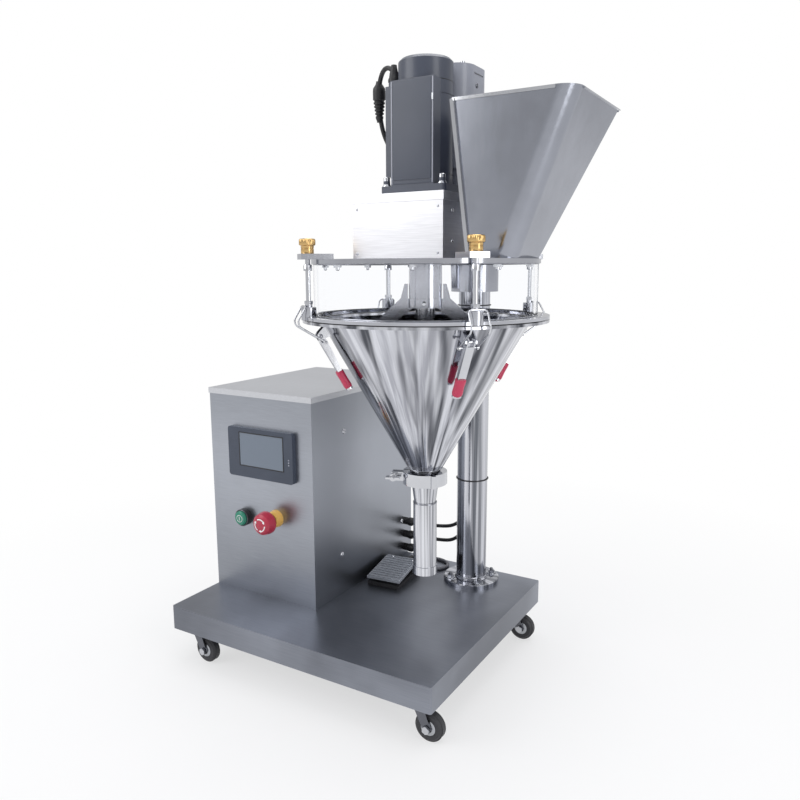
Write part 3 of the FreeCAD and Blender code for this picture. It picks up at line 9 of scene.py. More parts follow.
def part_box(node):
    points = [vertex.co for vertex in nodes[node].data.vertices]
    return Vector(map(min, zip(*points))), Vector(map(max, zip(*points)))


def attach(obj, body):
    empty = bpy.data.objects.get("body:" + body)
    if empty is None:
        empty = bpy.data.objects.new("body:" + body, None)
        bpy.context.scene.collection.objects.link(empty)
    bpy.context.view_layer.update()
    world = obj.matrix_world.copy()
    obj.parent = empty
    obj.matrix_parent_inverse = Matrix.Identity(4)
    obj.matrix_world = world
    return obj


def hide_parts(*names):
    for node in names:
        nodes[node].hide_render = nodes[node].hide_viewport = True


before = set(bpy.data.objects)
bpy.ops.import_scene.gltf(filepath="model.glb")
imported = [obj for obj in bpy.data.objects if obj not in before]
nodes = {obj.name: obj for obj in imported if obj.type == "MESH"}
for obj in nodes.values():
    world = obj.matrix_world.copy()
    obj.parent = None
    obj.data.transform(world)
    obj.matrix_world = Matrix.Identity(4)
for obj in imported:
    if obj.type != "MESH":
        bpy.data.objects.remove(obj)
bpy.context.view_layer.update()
MM = 0.001


# ---- places taken from the frame
def low(node):
    return Vector(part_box(node)[0])


def high(node):
    return Vector(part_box(node)[1])


def middle(node):
    return (low(node) + high(node)) / 2


DECK = Vector((middle("base_deck").x, middle("base_deck").y, high("base_deck").z))
HEAD = Vector((middle("nozzle_tube").x, middle("nozzle_tube").y, DECK.z))
POST = Vector((middle("column").x, middle("column").y, DECK.z))


def on_deck(across, back, up):
    """A point given in millimetres from the middle of the deck's top."""
    return DECK + Vector((across, back, up)) * MM


# ---- camera
CAMERA_PLACE = (722.0, -1068.2, 585.7)
CAMERA_TURN = (0.5398, 0.175, -0.004)
CAMERA_LENS, CAMERA_SENSOR = 33.63, 36


def add_camera():
    yaw, pitch, roll = CAMERA_TURN
    look = Vector((-math.sin(yaw) * math.cos(pitch), math.cos(yaw) * math.cos(pitch), -math.sin(pitch)))
    right = look.cross(Vector((0, 0, 1))).normalized()
    up = right.cross(look)
    turned_right = math.cos(roll) * right + math.sin(roll) * up
    turned_up = math.cos(roll) * up - math.sin(roll) * right
    data = bpy.data.cameras.new("Camera")
    data.lens = CAMERA_LENS
    data.sensor_width = CAMERA_SENSOR
    camera = bpy.data.objects.new("Camera", data)
    basis = Matrix((turned_right, turned_up, -look)).transposed().to_4x4()
    camera.matrix_world = Matrix.Translation(on_deck(*CAMERA_PLACE)) @ basis
    bpy.context.scene.collection.objects.link(camera)
    bpy.context.scene.camera = camera


add_camera()


# ---- building blocks
SHARP = math.radians(35)


def link(piece):
    bpy.context.scene.collection.objects.link(piece)
    return piece


def mesh_piece(name, bm, key, body, smooth=True):
    data = bpy.data.meshes.new(name)
    bm.to_mesh(data)
    bm.free()
    piece = link(bpy.data.objects.new(name, data))
    data.materials.append(MATERIALS[key])
    if smooth:
        for face in data.polygons:
            face.use_smooth = True
        data.set_sharp_from_angle(angle=SHARP)
    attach(piece, body)
    return piece


def facing(direction):
    """A rotation that turns +Z to the direction."""
    return Vector(direction).to_track_quat("Z", "Y").to_matrix().to_4x4()


def spun(profile, steps=48):
    """A closed form of (radius, height) points spun about Z."""
    bm = bmesh.new()
    verts = [bm.verts.new((max(radius, 0.0), 0, height)) for radius, height in profile]
    edges = [bm.edges.new((verts[i], verts[i + 1])) for i in range(len(verts) - 1)]
    bmesh.ops.spin(bm, geom=verts + edges, axis=(0, 0, 1), cent=(0, 0, 0), angle=2 * math.pi, steps=steps)
    bmesh.ops.remove_doubles(bm, verts=bm.verts, dist=1e-6)
    bmesh.ops.recalc_face_normals(bm, faces=bm.faces)
    return bm


def skin(bm, loops, around=False):
    """Joins each loop of points to the next one with faces."""
    following_loops = loops[1:] + loops[:1] if around else loops[1:]
    for first, second in zip(loops, following_loops):
        for side in range(len(first)):
            following = (side + 1) % len(first)
            bm.faces.new((first[side], first[following], second[following], second[side]))


def lathe(name, profile, place, direction, key, body, steps=48):
    """A turned piece: (radius, height) points in metres, spun about the direction."""
    bm = spun(profile, steps)
    bm.transform(Matrix.Translation(place) @ facing(direction))
    return mesh_piece(name, bm, key, body)


def tube(name, points, radius, key):
    """A round lead along a smooth line."""
    data = bpy.data.curves.new(name, "CURVE")
    data.dimensions = "3D"
    data.bevel_depth = radius
    data.bevel_resolution = 5
    data.resolution_u = 16
    data.use_fill_caps = True
    spline = data.splines.new("NURBS")
    spline.points.add(len(points) - 1)
    for point, spot in zip(spline.points, points):
        point.co = (*spot, 1)
    spline.order_u = 3
    spline.use_endpoint_u = True
    data.materials.append(MATERIALS[key])
    return link(bpy.data.objects.new(name, data))


# ---- materials
class Shader:
    """A node material on one Principled shader, with short helpers."""

    def __init__(self, name, color, roughness=0.5, metallic=0.0, **sockets):
        self.material = bpy.data.materials.new(name)
        self.material.use_nodes = True
        self.tree = self.material.node_tree
        self.bsdf = self.tree.nodes["Principled BSDF"]
        self.bsdf.inputs["Base Color"].default_value = (*color, 1)
        self.bsdf.inputs["Roughness"].default_value = roughness
        self.bsdf.inputs["Metallic"].default_value = metallic
        for key, value in sockets.items():
            self.bsdf.inputs[key.replace("_", " ")].default_value = value
        self.coords = self.tree.nodes.new("ShaderNodeTexCoord").outputs["Object"]

    def node(self, kind, **settings):
        made = self.tree.nodes.new(kind)
        for key, value in settings.items():
            setattr(made, key, value)
        return made

    def join(self, source, target):
        self.tree.links.new(source, target)

    def noise(self, scale, stretch=(1, 1, 1), detail=4.0, rough=0.6, warp=0.0, source=None):
        mapping = self.node("ShaderNodeMapping")
        mapping.inputs["Scale"].default_value = stretch
        self.join(source or self.coords, mapping.inputs["Vector"])
        noise = self.node("ShaderNodeTexNoise")
        noise.inputs["Scale"].default_value = scale
        noise.inputs["Detail"].default_value = detail
        noise.inputs["Roughness"].default_value = rough
        noise.inputs["Distortion"].default_value = warp
        self.join(mapping.outputs["Vector"], noise.inputs["Vector"])
        return noise.outputs["Fac"]

    def height(self, start, end):
        """How far up a point lies between two heights, from 0 to 1."""
        split = self.node("ShaderNodeSeparateXYZ")
        self.join(self.coords, split.inputs["Vector"])
        return self.span(split.outputs["Z"], start, end, 0, 1)

    def span(self, source, start, end, low_value, high_value):
        made = self.node("ShaderNodeMapRange")
        for key, value in (("From Min", start), ("From Max", end), ("To Min", low_value),
                           ("To Max", high_value)):
            made.inputs[key].default_value = value
        self.join(source, made.inputs["Value"])
        return made.outputs["Result"]

    def round_axis(self, centre, turns, rise):
        """Coordinates that wrap round an upright axis: angle across, height along."""
        split = self.node("ShaderNodeSeparateXYZ")
        shift = self.node("ShaderNodeMapping")
        shift.inputs["Location"].default_value = (-centre.x, -centre.y, 0)
        self.join(self.coords, shift.inputs["Vector"])
        self.join(shift.outputs["Vector"], split.inputs["Vector"])
        angle = self.node("ShaderNodeMath", operation="ARCTAN2")
        self.join(split.outputs["Y"], angle.inputs[0])
        self.join(split.outputs["X"], angle.inputs[1])
        wave = []
        for operation in ("SINE", "COSINE"):
            made = self.node("ShaderNodeMath", operation=operation)
            self.join(angle.outputs[0], made.inputs[0])
            wave.append(made.outputs[0])
        merge = self.node("ShaderNodeCombineXYZ")
        self.join(wave[0], merge.inputs["X"])
        self.join(wave[1], merge.inputs["Y"])
        self.join(split.outputs["Z"], merge.inputs["Z"])
        stretch = self.node("ShaderNodeMapping")
        stretch.inputs["Scale"].default_value = (turns, turns, rise)
        self.join(merge.outputs["Vector"], stretch.inputs["Vector"])
        return stretch.outputs["Vector"]

    def ramp(self, source, stops):
        """A colour ramp; each stop is (place, colour)."""
        ramp = self.node("ShaderNodeValToRGB")
        elements = ramp.color_ramp.elements
        while len(elements) < len(stops):
            elements.new(0.5)
        for element, (place, color) in zip(elements, stops):
            element.position = place
            element.color = (*color, 1)
        self.join(source, ramp.inputs["Fac"])
        return ramp.outputs["Color"]

    def mix(self, first, second, factor, kind="MIX"):
        mix = self.node("ShaderNodeMix", data_type="RGBA", blend_type=kind)
        mix.inputs["Factor"].default_value = factor
        self.join(first, mix.inputs["A"])
        self.join(second, mix.inputs["B"])
        return mix.outputs["Result"]

    def paint(self, color):
        self.join(color, self.bsdf.inputs["Base Color"])
        return self

    def vary_color(self, source, start, end, at=(0.35, 0.65)):
        return self.paint(self.ramp(source, ((at[0], start), (at[1], end))))

    def vary_roughness(self, source, start, end):
        self.join(self.span(source, 0, 1, start, end), self.bsdf.inputs["Roughness"])
        return self

    def bump(self, source, strength, distance):
        bump = self.node("ShaderNodeBump")
        bump.inputs["Strength"].default_value = strength
        bump.inputs["Distance"].default_value = distance
        self.join(source, bump.inputs["Height"])
        self.join(bump.outputs["Normal"], self.bsdf.inputs["Normal"])
        return self


def shade(color, level):
    return tuple(min(1.0, level * part) for part in color)


def brushed(name, color, roughness, stretch, tones=(0.86, 1.06), painted_light_bands=None):
    """Rolled stainless sheet: a fine grain along one direction and soft clouds; tones given by height add
    painted shade and painted reflections.
    """
    shader = Shader(name, color, roughness, 1.0)
    grain = shader.noise(900, stretch, 2, 0.6)
    cloud = shader.noise(3.2, (1, 1, 1), 3, 0.5, 0.6)
    tone = shader.ramp(cloud, ((0.3, shade(color, tones[0])), (0.7, shade(color, tones[1]))))
    fine = shader.ramp(grain, ((0.25, (0.9, 0.9, 0.9)), (0.75, (1.06, 1.06, 1.06))))
    tone = shader.mix(tone, fine, 1.0, "MULTIPLY")
    # Painted light: tones by height multiply the colour, as painted shade and a painted reflection.
    if painted_light_bands:
        start, end, stops = painted_light_bands
        painted_light_ladder = shader.ramp(shader.height(start, end), [(place, (level,) * 3) for place, level in stops])
        tone = shader.mix(tone, painted_light_ladder, 1.0, "MULTIPLY")
    shader.paint(tone)
    shader.vary_roughness(grain, roughness - 0.05, roughness + 0.07)
    return shader.bump(grain, 0.05, 0.00002).material


def polished(name, color, roughness, wave=0.0):
    """Mirror-finished steel: faint polishing marks and, on sheet, a slight wave."""
    shader = Shader(name, color, roughness, 1.0)
    marks = shader.noise(160, (1, 1, 0.15), 4, 0.6)
    shader.vary_roughness(marks, max(roughness - 0.03, 0.02), roughness + 0.05)
    shader.vary_color(shader.noise(11), shade(color, 0.9), shade(color, 1.05))
    if wave:
        shader.bump(shader.noise(9, (1, 1, 0.5), 2, 0.4), wave, 0.004)
    return shader.material


def painted_reflection_steel(name, centre, dark, light, roughness, turns, rise, contrast=(0.36, 0.62), depth=0.25):
    """Mirror steel round an upright axis, with wavy dark and light streaks in its colour as painted
    reflections.
    """
    shader = Shader(name, light, roughness, 1.0)
    around = shader.round_axis(centre, turns, rise)
    broad = shader.noise(1.0, (1, 1, 1), 1.5, 0.5, 1.1, around)
    thin = shader.noise(3.1, (1, 1, 0.6), 2, 0.5, 0.8, around)
    # Painted reflections: dark to light streaks round the axis, put into the base colour.
    wide = shader.ramp(broad, ((contrast[0], dark), (0.5, shade(light, 0.8)), (contrast[1], light)))
    fine = shader.ramp(thin, ((0.38, (0.72, 0.72, 0.74)), (0.62, (1.12, 1.12, 1.12))))
    shader.paint(shader.mix(wide, fine, 1.0, "MULTIPLY"))
    shader.vary_roughness(thin, roughness, roughness + 0.06)
    return shader.bump(broad, depth, 0.004).material


def moulded(name, color, roughness=0.45, grain=900, strength=0.08):
    """Moulded plastic or rubber with a fine even texture."""
    shader = Shader(name, color, roughness)
    fine = shader.noise(grain, (1, 1, 1), 2, 0.5)
    lighter = tuple(min(1, part * 1.15 + 0.004) for part in color)
    shader.vary_color(shader.noise(14), color, lighter)
    shader.vary_roughness(fine, roughness - 0.05, roughness + 0.08)
    return shader.bump(fine, strength, 0.0001).material


def painted(name, color, roughness=0.35):
    """Enamel on a casting: a faint orange peel and slightly rubbed patches."""
    shader = Shader(name, color, roughness, 0.0, Coat_Weight=0.25, Coat_Roughness=0.2)
    peel = shader.noise(260, (1, 1, 1), 2, 0.5)
    shader.vary_color(shader.noise(10), shade(color, 0.9), shade(color, 1.05))
    shader.vary_roughness(shader.noise(22), roughness - 0.06, roughness + 0.08)
    return shader.bump(peel, 0.1, 0.00012).material


def clear(name):
    """Clear acrylic, with painted shade in its colour where the thin wall is seen edge on."""
    shader = Shader(name, (1, 1, 1), 0.02, 0.0, Transmission_Weight=1.0, IOR=1.03)
    facing_edge = shader.node("ShaderNodeLayerWeight")
    facing_edge.inputs["Blend"].default_value = 0.28
    # Painted shade: grey where the wall is seen edge on, clear elsewhere.
    clean, edge = (0.985, 0.99, 1.0), (0.60, 0.63, 0.69)
    shader.paint(shader.ramp(facing_edge.outputs["Facing"], ((0.0, clean), (0.55, clean), (0.92, edge))))
    return shader.bump(shader.noise(6, (1, 1, 1), 2, 0.4), 0.02, 0.001).material


def glass_screen(name):
    """A dark touch screen with a soft diagonal change of tone."""
    shader = Shader(name, (0.12, 0.15, 0.2), 0.12, 0.0, Coat_Weight=0.5, Coat_Roughness=0.05)
    return shader.vary_color(shader.noise(6, (1, 1, 1.4), 1, 0.3), (0.115, 0.145, 0.19),
                             (0.15, 0.185, 0.235)).material


DECK_Z, CABINET_TOP = DECK.z, high("cabinet_lid").z
# Painted light on the cabinet: darker towards the deck as painted shade, brightest across the middle as a
# painted reflection, slightly darker at the top.
CABINET_PAINTED_LIGHT_BANDS = (DECK_Z, CABINET_TOP, ((0.0, 0.55), (0.05, 0.72), (0.22, 0.82), (0.5, 1.02), (0.72, 1.04),
                                       (0.9, 0.9), (1.0, 0.86)))
SPOUT_AXIS = Vector((HEAD.x, HEAD.y, 0))
MATERIALS = {
    # Painted light: deck, cabinet, lid and housing are one brushed stainless; the deck and cabinet are
    # darkened as painted shade and the housing lightened as a painted highlight.
    "deck": brushed("DeckSteel", (0.27, 0.285, 0.325), 0.34, (0.03, 1, 1), (0.62, 1.22)),
    "cabinet": brushed("CabinetSteel", (0.40, 0.42, 0.465), 0.34, (0.03, 1, 1), (0.92, 1.05), CABINET_PAINTED_LIGHT_BANDS),
    "lid": brushed("LidSteel", (0.62, 0.63, 0.66), 0.30, (1, 0.03, 1), (0.94, 1.04)),
    "housing": brushed("HousingSteel", (0.80, 0.80, 0.83), 0.30, (0.03, 0.03, 1), (0.97, 1.03)),
    # The cone, bend, column and spout steels carry painted reflections as dark and light streaks.
    "cone": painted_reflection_steel("ConeSteel", SPOUT_AXIS, (0.10, 0.105, 0.12), (0.62, 0.63, 0.67), 0.09, 4.2, 5.5,
                     (0.34, 0.6), 0.3),
    "feed": polished("FeedSteel", (0.34, 0.355, 0.40), 0.17, 0.12),
    "feed_bend": painted_reflection_steel("FeedBendSteel", SPOUT_AXIS, (0.2, 0.205, 0.23), (0.6, 0.61, 0.65), 0.1, 9, 5,
                          (0.4, 0.58), 0.1),
    "mirror": polished("MirrorSteel", (0.52, 0.53, 0.57), 0.08, 0.25),
    "post": painted_reflection_steel("PostSteel", Vector((POST.x, POST.y, 0)), (0.16, 0.17, 0.19), (0.66, 0.67, 0.71), 0.1,
                     2.6, 1.2, (0.36, 0.6), 0.05),
    "spout": painted_reflection_steel("SpoutSteel", SPOUT_AXIS, (0.2, 0.21, 0.235), (0.68, 0.69, 0.72), 0.12, 2.2, 2.0,
                      (0.38, 0.6), 0.05),
    "bright": polished("BrightSteel", (0.62, 0.63, 0.66), 0.1),
    "turned": polished("TurnedSteel", (0.46, 0.47, 0.51), 0.16),
    "dark_steel": polished("DarkSteel", (0.16, 0.165, 0.185), 0.22),
    "zinc": polished("ZincPlate", (0.46, 0.475, 0.50), 0.25),
    "brass": polished("Brass", (0.66, 0.44, 0.19), 0.22),
    "acrylic": clear("Acrylic"),
    "servo": painted("ServoPaint", (0.062, 0.072, 0.102), 0.36),
    "servo_panel": painted("ServoPanel", (0.052, 0.062, 0.09), 0.42),
    "stir": painted("MotorGrey", (0.34, 0.355, 0.41), 0.32),
    "bezel": moulded("PanelBezel", (0.045, 0.056, 0.082), 0.4),
    "screen": glass_screen("PanelGlass"),
    "black": moulded("BlackPlastic", (0.012, 0.012, 0.014), 0.42),
    "green": moulded("GreenCap", (0.02, 0.22, 0.14), 0.25, 300, 0.02),
    "red": moulded("StopRed", (0.40, 0.025, 0.055), 0.3, 300, 0.03),
    "yellow": moulded("StopYellow", (0.72, 0.42, 0.1), 0.35),
    "grip": moulded("GripRed", (0.50, 0.03, 0.085), 0.36, 500, 0.05),
    "rubber": moulded("BlackRubber", (0.016, 0.016, 0.018), 0.6, 700, 0.12),
    "gasket": moulded("WhiteSilicone", (0.6, 0.6, 0.6), 0.5),
    "grey_cord": moulded("GreyCord", (0.16, 0.16, 0.18), 0.5),
    "tyre": moulded("DarkTyre", (0.03, 0.03, 0.034), 0.5),
    "pedal": painted("PedalGrey", (0.34, 0.36, 0.40), 0.38),
    "white": moulded("WhiteInk", (0.8, 0.8, 0.8), 0.5),
}

DRESS = {
    "deck": ("base_deck", "base_rails"),
    "cabinet": ("cabinet_shell", "cabinet_rear_cover"),
    "lid": ("cabinet_lid",),
    "housing": ("drive_housing", "housing_lid"),
    "cone": ("hopper_cone",),
    "feed": ("feed_hopper",),
    "mirror": ("top_plate", "catch_ring"),
    "post": ("column",),
    "spout": ("nozzle_tube", "auger"),
    "turned": ("head_arm", "agitator", "bearing_housing", "stir_pulley"),
    "bright": ("tie_rods", "tri_clamp", "wing_nut", "latch_seats"),
    "zinc": ("caster_seats",),
    "acrylic": ("sight_ring",),
    "servo": ("servo_motor",),
    "stir": ("stir_motor",),
    "bezel": ("hmi_housing",),
    "screen": ("hmi_screen",),
    "black": ("start_button_bezel", "estop_stem", "cable_glands"),
    "green": ("start_button_cap",),
    "red": ("estop_head",),
    "yellow": ("estop_collar",),
    "rubber": ("motor_leads", "drive_belt", "pedal_base"),
    "gasket": ("hopper_gasket",),
    "grey_cord": ("pedal_cord",),
    "pedal": ("pedal_treadle",),
}


def dress(node, key):
    data = nodes[node].data
    data.materials.clear()
    data.materials.append(MATERIALS[key])


for key, names in DRESS.items():
    for name in names:
        dress(name, key)
for number in range(1, 5):
    dress("knob_%d" % number, "brass")
    dress("latch_lever_%d" % number, "bright")
    dress("latch_bail_%d" % number, "bright")
for name in nodes:
    if name.startswith("caster_fork"):
        dress(name, "dark_steel")
    if name.startswith("caster_wheel"):
        dress(name, "tyre")


# ---- cords
PEDAL_CORD = [(7, 156.9, 11), (5.2, 174, 10), (12, 192, 6), (34, 205, 3.2), (60, 206, 3.2), (80, 192, 3.2),
              (80, 168, 3.2), (62, 154, 3.2), (40, 160, 6), (26, 180, 14), (10, 203, 16), (-9.5, 203, 16)]
SERVO_LEAD = [(116.5, -71, 857.9), (116.5, -71, 873), (97, -66, 880), (80, -55, 862), (76, -50, 825),
              (80, -40, 780),
              (92, 0, 740), (100, 50, 724), (98, 96, 696), (86, 140, 646), (89, 186, 590), (106, 207, 540),
              (116, 206, 300), (114, 205, 100), (92, 203, 52), (44, 203, 44), (-9.5, 203, 44)]
STIR_LEAD = [(150, 69, 850), (150, 84, 850), (146, 98, 835), (140, 104, 790), (134, 108, 730),
             (112, 122, 670),
             (95, 166, 624), (100, 199, 580), (121, 209, 530), (126, 209, 300), (122, 208, 140), (96, 205,
                                                                                                  84),
             (46, 203, 72), (-9.5, 203, 72)]


def add_cords():
    route = [on_deck(*point) for point in PEDAL_CORD]
    cord = tube("PedalCord", route, 0.003, "grey_cord")
    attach(cord, "machine")
    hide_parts("pedal_cord")
    for name, points in (("ServoLead", SERVO_LEAD), ("StirLead", STIR_LEAD)):
        lead = tube(name, [on_deck(*point) for point in points], 0.0035, "black")
        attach(lead, "machine")
        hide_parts("motor_leads")


add_cords()


# ---- soft edges on the CAD nodes
def soften(node, width):
    """A small bevel that lets the edges of a CAD node catch the light."""
    bevel = nodes[node].modifiers.new("Edge", "BEVEL")
    bevel.width = width
    bevel.segments = 2
    bevel.limit_method = "ANGLE"
    bevel.angle_limit = SHARP


# ---- fasteners
def socket_screw(name, place, direction, radius, body, key="bright", height=None):
    """A cap-head screw with its hexagon socket."""
    tall = height or radius * 1.3
    recess = radius * 0.5
    profile = [(0, tall * 0.45), (recess, tall * 0.45), (recess, tall * 0.96), (radius * 0.84, tall),
               (radius, tall * 0.88), (radius, 0), (0, 0)]
    return lathe(name, profile, place, direction, key, body, 24)


def pan_screw(name, place, direction, radius, body, key="bright"):
    """A low domed screw with a cross recess."""
    rings = 5
    outline = [(radius * math.cos(math.pi / 2 * step / rings),
                0.45 * radius * math.sin(math.pi / 2 * step / rings))
               for step in range(rings + 1)]
    bm = spun([(radius, -0.2 * radius)] + outline, 24)
    for vert in bm.verts:
        reach = math.hypot(vert.co.x, vert.co.y)
        if reach < radius * 0.55 and min(abs(vert.co.x), abs(vert.co.y)) < radius * 0.12:
            vert.co.z -= radius * 0.28
    bmesh.ops.recalc_face_normals(bm, faces=bm.faces)
    bm.transform(Matrix.Translation(place) @ facing(direction))
    return mesh_piece(name, bm, key, body)


def hex_nut(name, place, direction, radius, height, body, key="bright"):
    """A hexagon nut or head with its round chamfer."""
    bm = bmesh.new()
    bmesh.ops.create_cone(bm, cap_ends=True, segments=6, radius1=radius, radius2=radius, depth=height,
                          matrix=Matrix.Translation((0, 0, height / 2)))
    bmesh.ops.bevel(bm, geom=bm.edges[:], offset=radius * 0.09, segments=2, affect="EDGES")
    bm.transform(Matrix.Translation(place) @ facing(direction))
    return mesh_piece(name, bm, key, body)


def rounded_bar(name, corner, size, bevel, key, body):
    """A block with rounded edges, given by its lowest corner and its size in metres."""
    bm = bmesh.new()
    bmesh.ops.create_cube(bm, size=1)
    for vert in bm.verts:
        vert.co = Vector(((vert.co.x + 0.5) * size[0], (vert.co.y + 0.5) * size[1],
                          (vert.co.z + 0.5) * size[2]))
    bmesh.ops.bevel(bm, geom=bm.edges[:], offset=bevel, segments=3, affect="EDGES", profile=0.7)
    bm.transform(Matrix.Translation(corner))
    return mesh_piece(name, bm, key, body)


# Angles round the head's axis in degrees; the other values in millimetres.
STATIONS = (-130, -40, 50, 140)
LATCH_RADIUS, LATCH_UP, LATCH_LEAN = 166, 488, 30
ROD_RADIUS, ROD_NUT_UP, ROD_FERRULE_UP = 181, 534.3, 582
PLATE_BOLTS, PLATE_BOLT_RADIUS = 8, 0.156
SERVO_HALF, SERVO_PAD_TOP, SERVO_FLANGE = 0.035, 0.1605, 0.015
SERVO_BOLT = (0.046, 0.035)
FEED_FOOT, FEED_FOOT_SIZE, FEED_FOOT_UP = (102, -63), (64, 99), 598
FEED_MOUTH, FEED_MOUTH_SIZE, FEED_RISE = (80, -73), (170, 190), 210


def at_station(angle, radius, up):
    """A point round the head's axis; the radius and the height above the deck in millimetres."""
    lean = math.radians(angle)
    return HEAD + Vector((radius * math.cos(lean), radius * math.sin(lean), up)) * MM


def outward(angle):
    return Vector((math.cos(math.radians(angle)), math.sin(math.radians(angle)), 0))


# ---- knobs and latches
def brass_knob(number):
    """A knurled head on a plain stem, as fine-fluted brass."""
    base, top = low("knob_%d" % number), high("knob_%d" % number)
    centre = Vector(((base.x + top.x) / 2, (base.y + top.y) / 2, base.z))
    tall = top.z - base.z
    radius = (top.x - base.x) / 2
    profile = [(0, tall), (radius * 0.5, tall), (radius * 0.86, tall - 0.0004),
               (radius * 0.96, tall - 0.0015)]
    profile += [(radius * 0.985, tall - 0.003), (radius * 0.985, tall * 0.62), (radius * 0.94, tall * 0.56)]
    profile += [(radius * 0.86, tall * 0.535), (radius * 0.80, tall * 0.52), (radius * 0.775, tall * 0.49)]
    profile += [(radius * 0.775, tall * 0.36), (radius * 0.73, tall * 0.35), (radius * 0.73, tall * 0.32)]
    profile += [(radius * 0.775, tall * 0.31), (radius * 0.775, 0.001), (radius * 0.73, 0), (0, 0)]
    flutes = 36
    bm = spun(profile, flutes * 4)
    for vert in bm.verts:
        reach = math.hypot(vert.co.x, vert.co.y)
        if reach > radius * 0.95 and tall * 0.58 < vert.co.z < tall - 0.001:
            sweep = math.atan2(vert.co.y, vert.co.x)
            scale = 1 - 0.03 * (0.5 + 0.5 * math.cos(flutes * sweep))
            vert.co.x *= scale
            vert.co.y *= scale
    bmesh.ops.recalc_face_normals(bm, faces=bm.faces)
    bm.transform(Matrix.Translation(centre))
    piece = mesh_piece("KnobBrass%d" % number, bm, "brass", "knob_%d" % number)
    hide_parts("knob_%d" % number)


def latch_frame(angle):
    """Axes of a leaning lever: X outward, Z along the lever, origin at its pivot."""
    spin = Matrix.Rotation(math.radians(angle), 4, "Z")
    tilt = Matrix.Rotation(math.radians(LATCH_LEAN), 4, "Y")
    pivot = Matrix.Translation(Vector((LATCH_RADIUS, 0, LATCH_UP)) * MM)
    return Matrix.Translation(HEAD) @ spin @ pivot @ tilt


def latch_grip(number, angle):
    """The red dipped sleeve on the lever's end, a soft flattened capsule."""
    bm = bmesh.new()
    length, wide, deep = 0.034, 0.0078, 0.0061
    rings, sides = 18, 24
    loops = []
    for ring in range(rings + 1):
        share = ring / rings
        up = -0.0600 - length * share
        if share < 0.12:
            swell = 0.90 + 0.10 * math.sin(share / 0.12 * math.pi / 2)
        elif share > 0.72:
            swell = math.sqrt(max(0.0, 1 - ((share - 0.72) / 0.285) ** 2))
        else:
            swell = 1 - 0.05 * math.sin((share - 0.12) / 0.6 * math.pi)
        loop = []
        for side in range(sides):
            sweep = 2 * math.pi * side / sides
            across = math.copysign(abs(math.cos(sweep)) ** 0.8, math.cos(sweep)) * deep * swell
            along = math.copysign(abs(math.sin(sweep)) ** 0.8, math.sin(sweep)) * wide * swell
            loop.append(bm.verts.new((0.002 + across, along, up)))
        loops.append(loop)
    skin(bm, loops)
    bm.faces.new(loops[0])
    bm.faces.new(list(reversed(loops[-1])))
    bmesh.ops.recalc_face_normals(bm, faces=bm.faces)
    bm.transform(latch_frame(angle))
    piece = mesh_piece("LatchGrip%d" % number, bm, "grip", "latch_lever_%d" % number)


def latch_rivets(number, angle):
    """Domed rivet heads on the lever's pivot and on the bail's pin."""
    place = latch_frame(angle)
    side = Matrix.Rotation(math.radians(angle), 3, "Z") @ Vector((0, 1, 0))
    for index, sign in enumerate((-1, 1)):
        head = place @ Vector((0, sign * 0.0084, 0))
        pan_screw("PivotRivet%d_%d" % (number, index), head, side * sign, 0.0034, "machine")
        pin = place @ Vector((-0.001, sign * 0.0155, -0.010))
        pan_screw("BailRivet%d_%d" % (number, index), pin, side * sign, 0.0021, "latch_lever_%d" % number)


def add_latches():
    for number, angle in enumerate(STATIONS, start=1):
        brass_knob(number)
        latch_grip(number, angle)
        latch_rivets(number, angle)


# ---- bars, plates and beads
def at_head(across, back, up):
    """A point from the head's axis, in millimetres, with its height above the deck."""
    return HEAD + Vector((across, back, up)) * MM


def bar_between(name, start, end, width, depth, key, body="machine", bevel=0.0006):
    """A straight flat bar from one point to another, its width and depth across."""
    run = end - start
    bm = bmesh.new()
    bmesh.ops.create_cube(bm, size=1)
    for vert in bm.verts:
        vert.co = Vector((vert.co.x * width, vert.co.y * depth, (vert.co.z + 0.5) * run.length))
    bmesh.ops.bevel(bm, geom=bm.edges[:], offset=bevel, segments=2, affect="EDGES")
    bm.transform(Matrix.Translation(start) @ facing(run))
    return mesh_piece(name, bm, key, body)


def plate_bar(name, corner, size, key, body="machine", bevel=0.0008):
    return rounded_bar(name, corner, [part * MM for part in size], bevel, key, body)


def hoop(name, centre, radius, wire, key, body="machine", direction=(0, 0, 1)):
    """A round bead that runs round an axis."""
    bm = bmesh.new()
    sides, rings = 10, 96
    loops = []
    for ring in range(rings):
        sweep = 2 * math.pi * ring / rings
        loop = []
        for side in range(sides):
            turn = 2 * math.pi * side / sides
            reach = radius + wire * math.cos(turn)
            loop.append(bm.verts.new((reach * math.cos(sweep), reach * math.sin(sweep),
                                      wire * math.sin(turn))))
        loops.append(loop)
    skin(bm, loops, around=True)
    bmesh.ops.recalc_face_normals(bm, faces=bm.faces)
    bm.transform(Matrix.Translation(centre) @ facing(direction))
    return mesh_piece(name, bm, key, body)


# ---- motors
CORNERS = ((1, 1), (1, -1), (-1, 1), (-1, -1))
UP, DOWN = Vector((0, 0, 1)), Vector((0, 0, -1))
FRONT, BACK = Vector((0, -1, 0)), Vector((0, 1, 0))
LEFT, RIGHT = Vector((-1, 0, 0)), Vector((1, 0, 0))


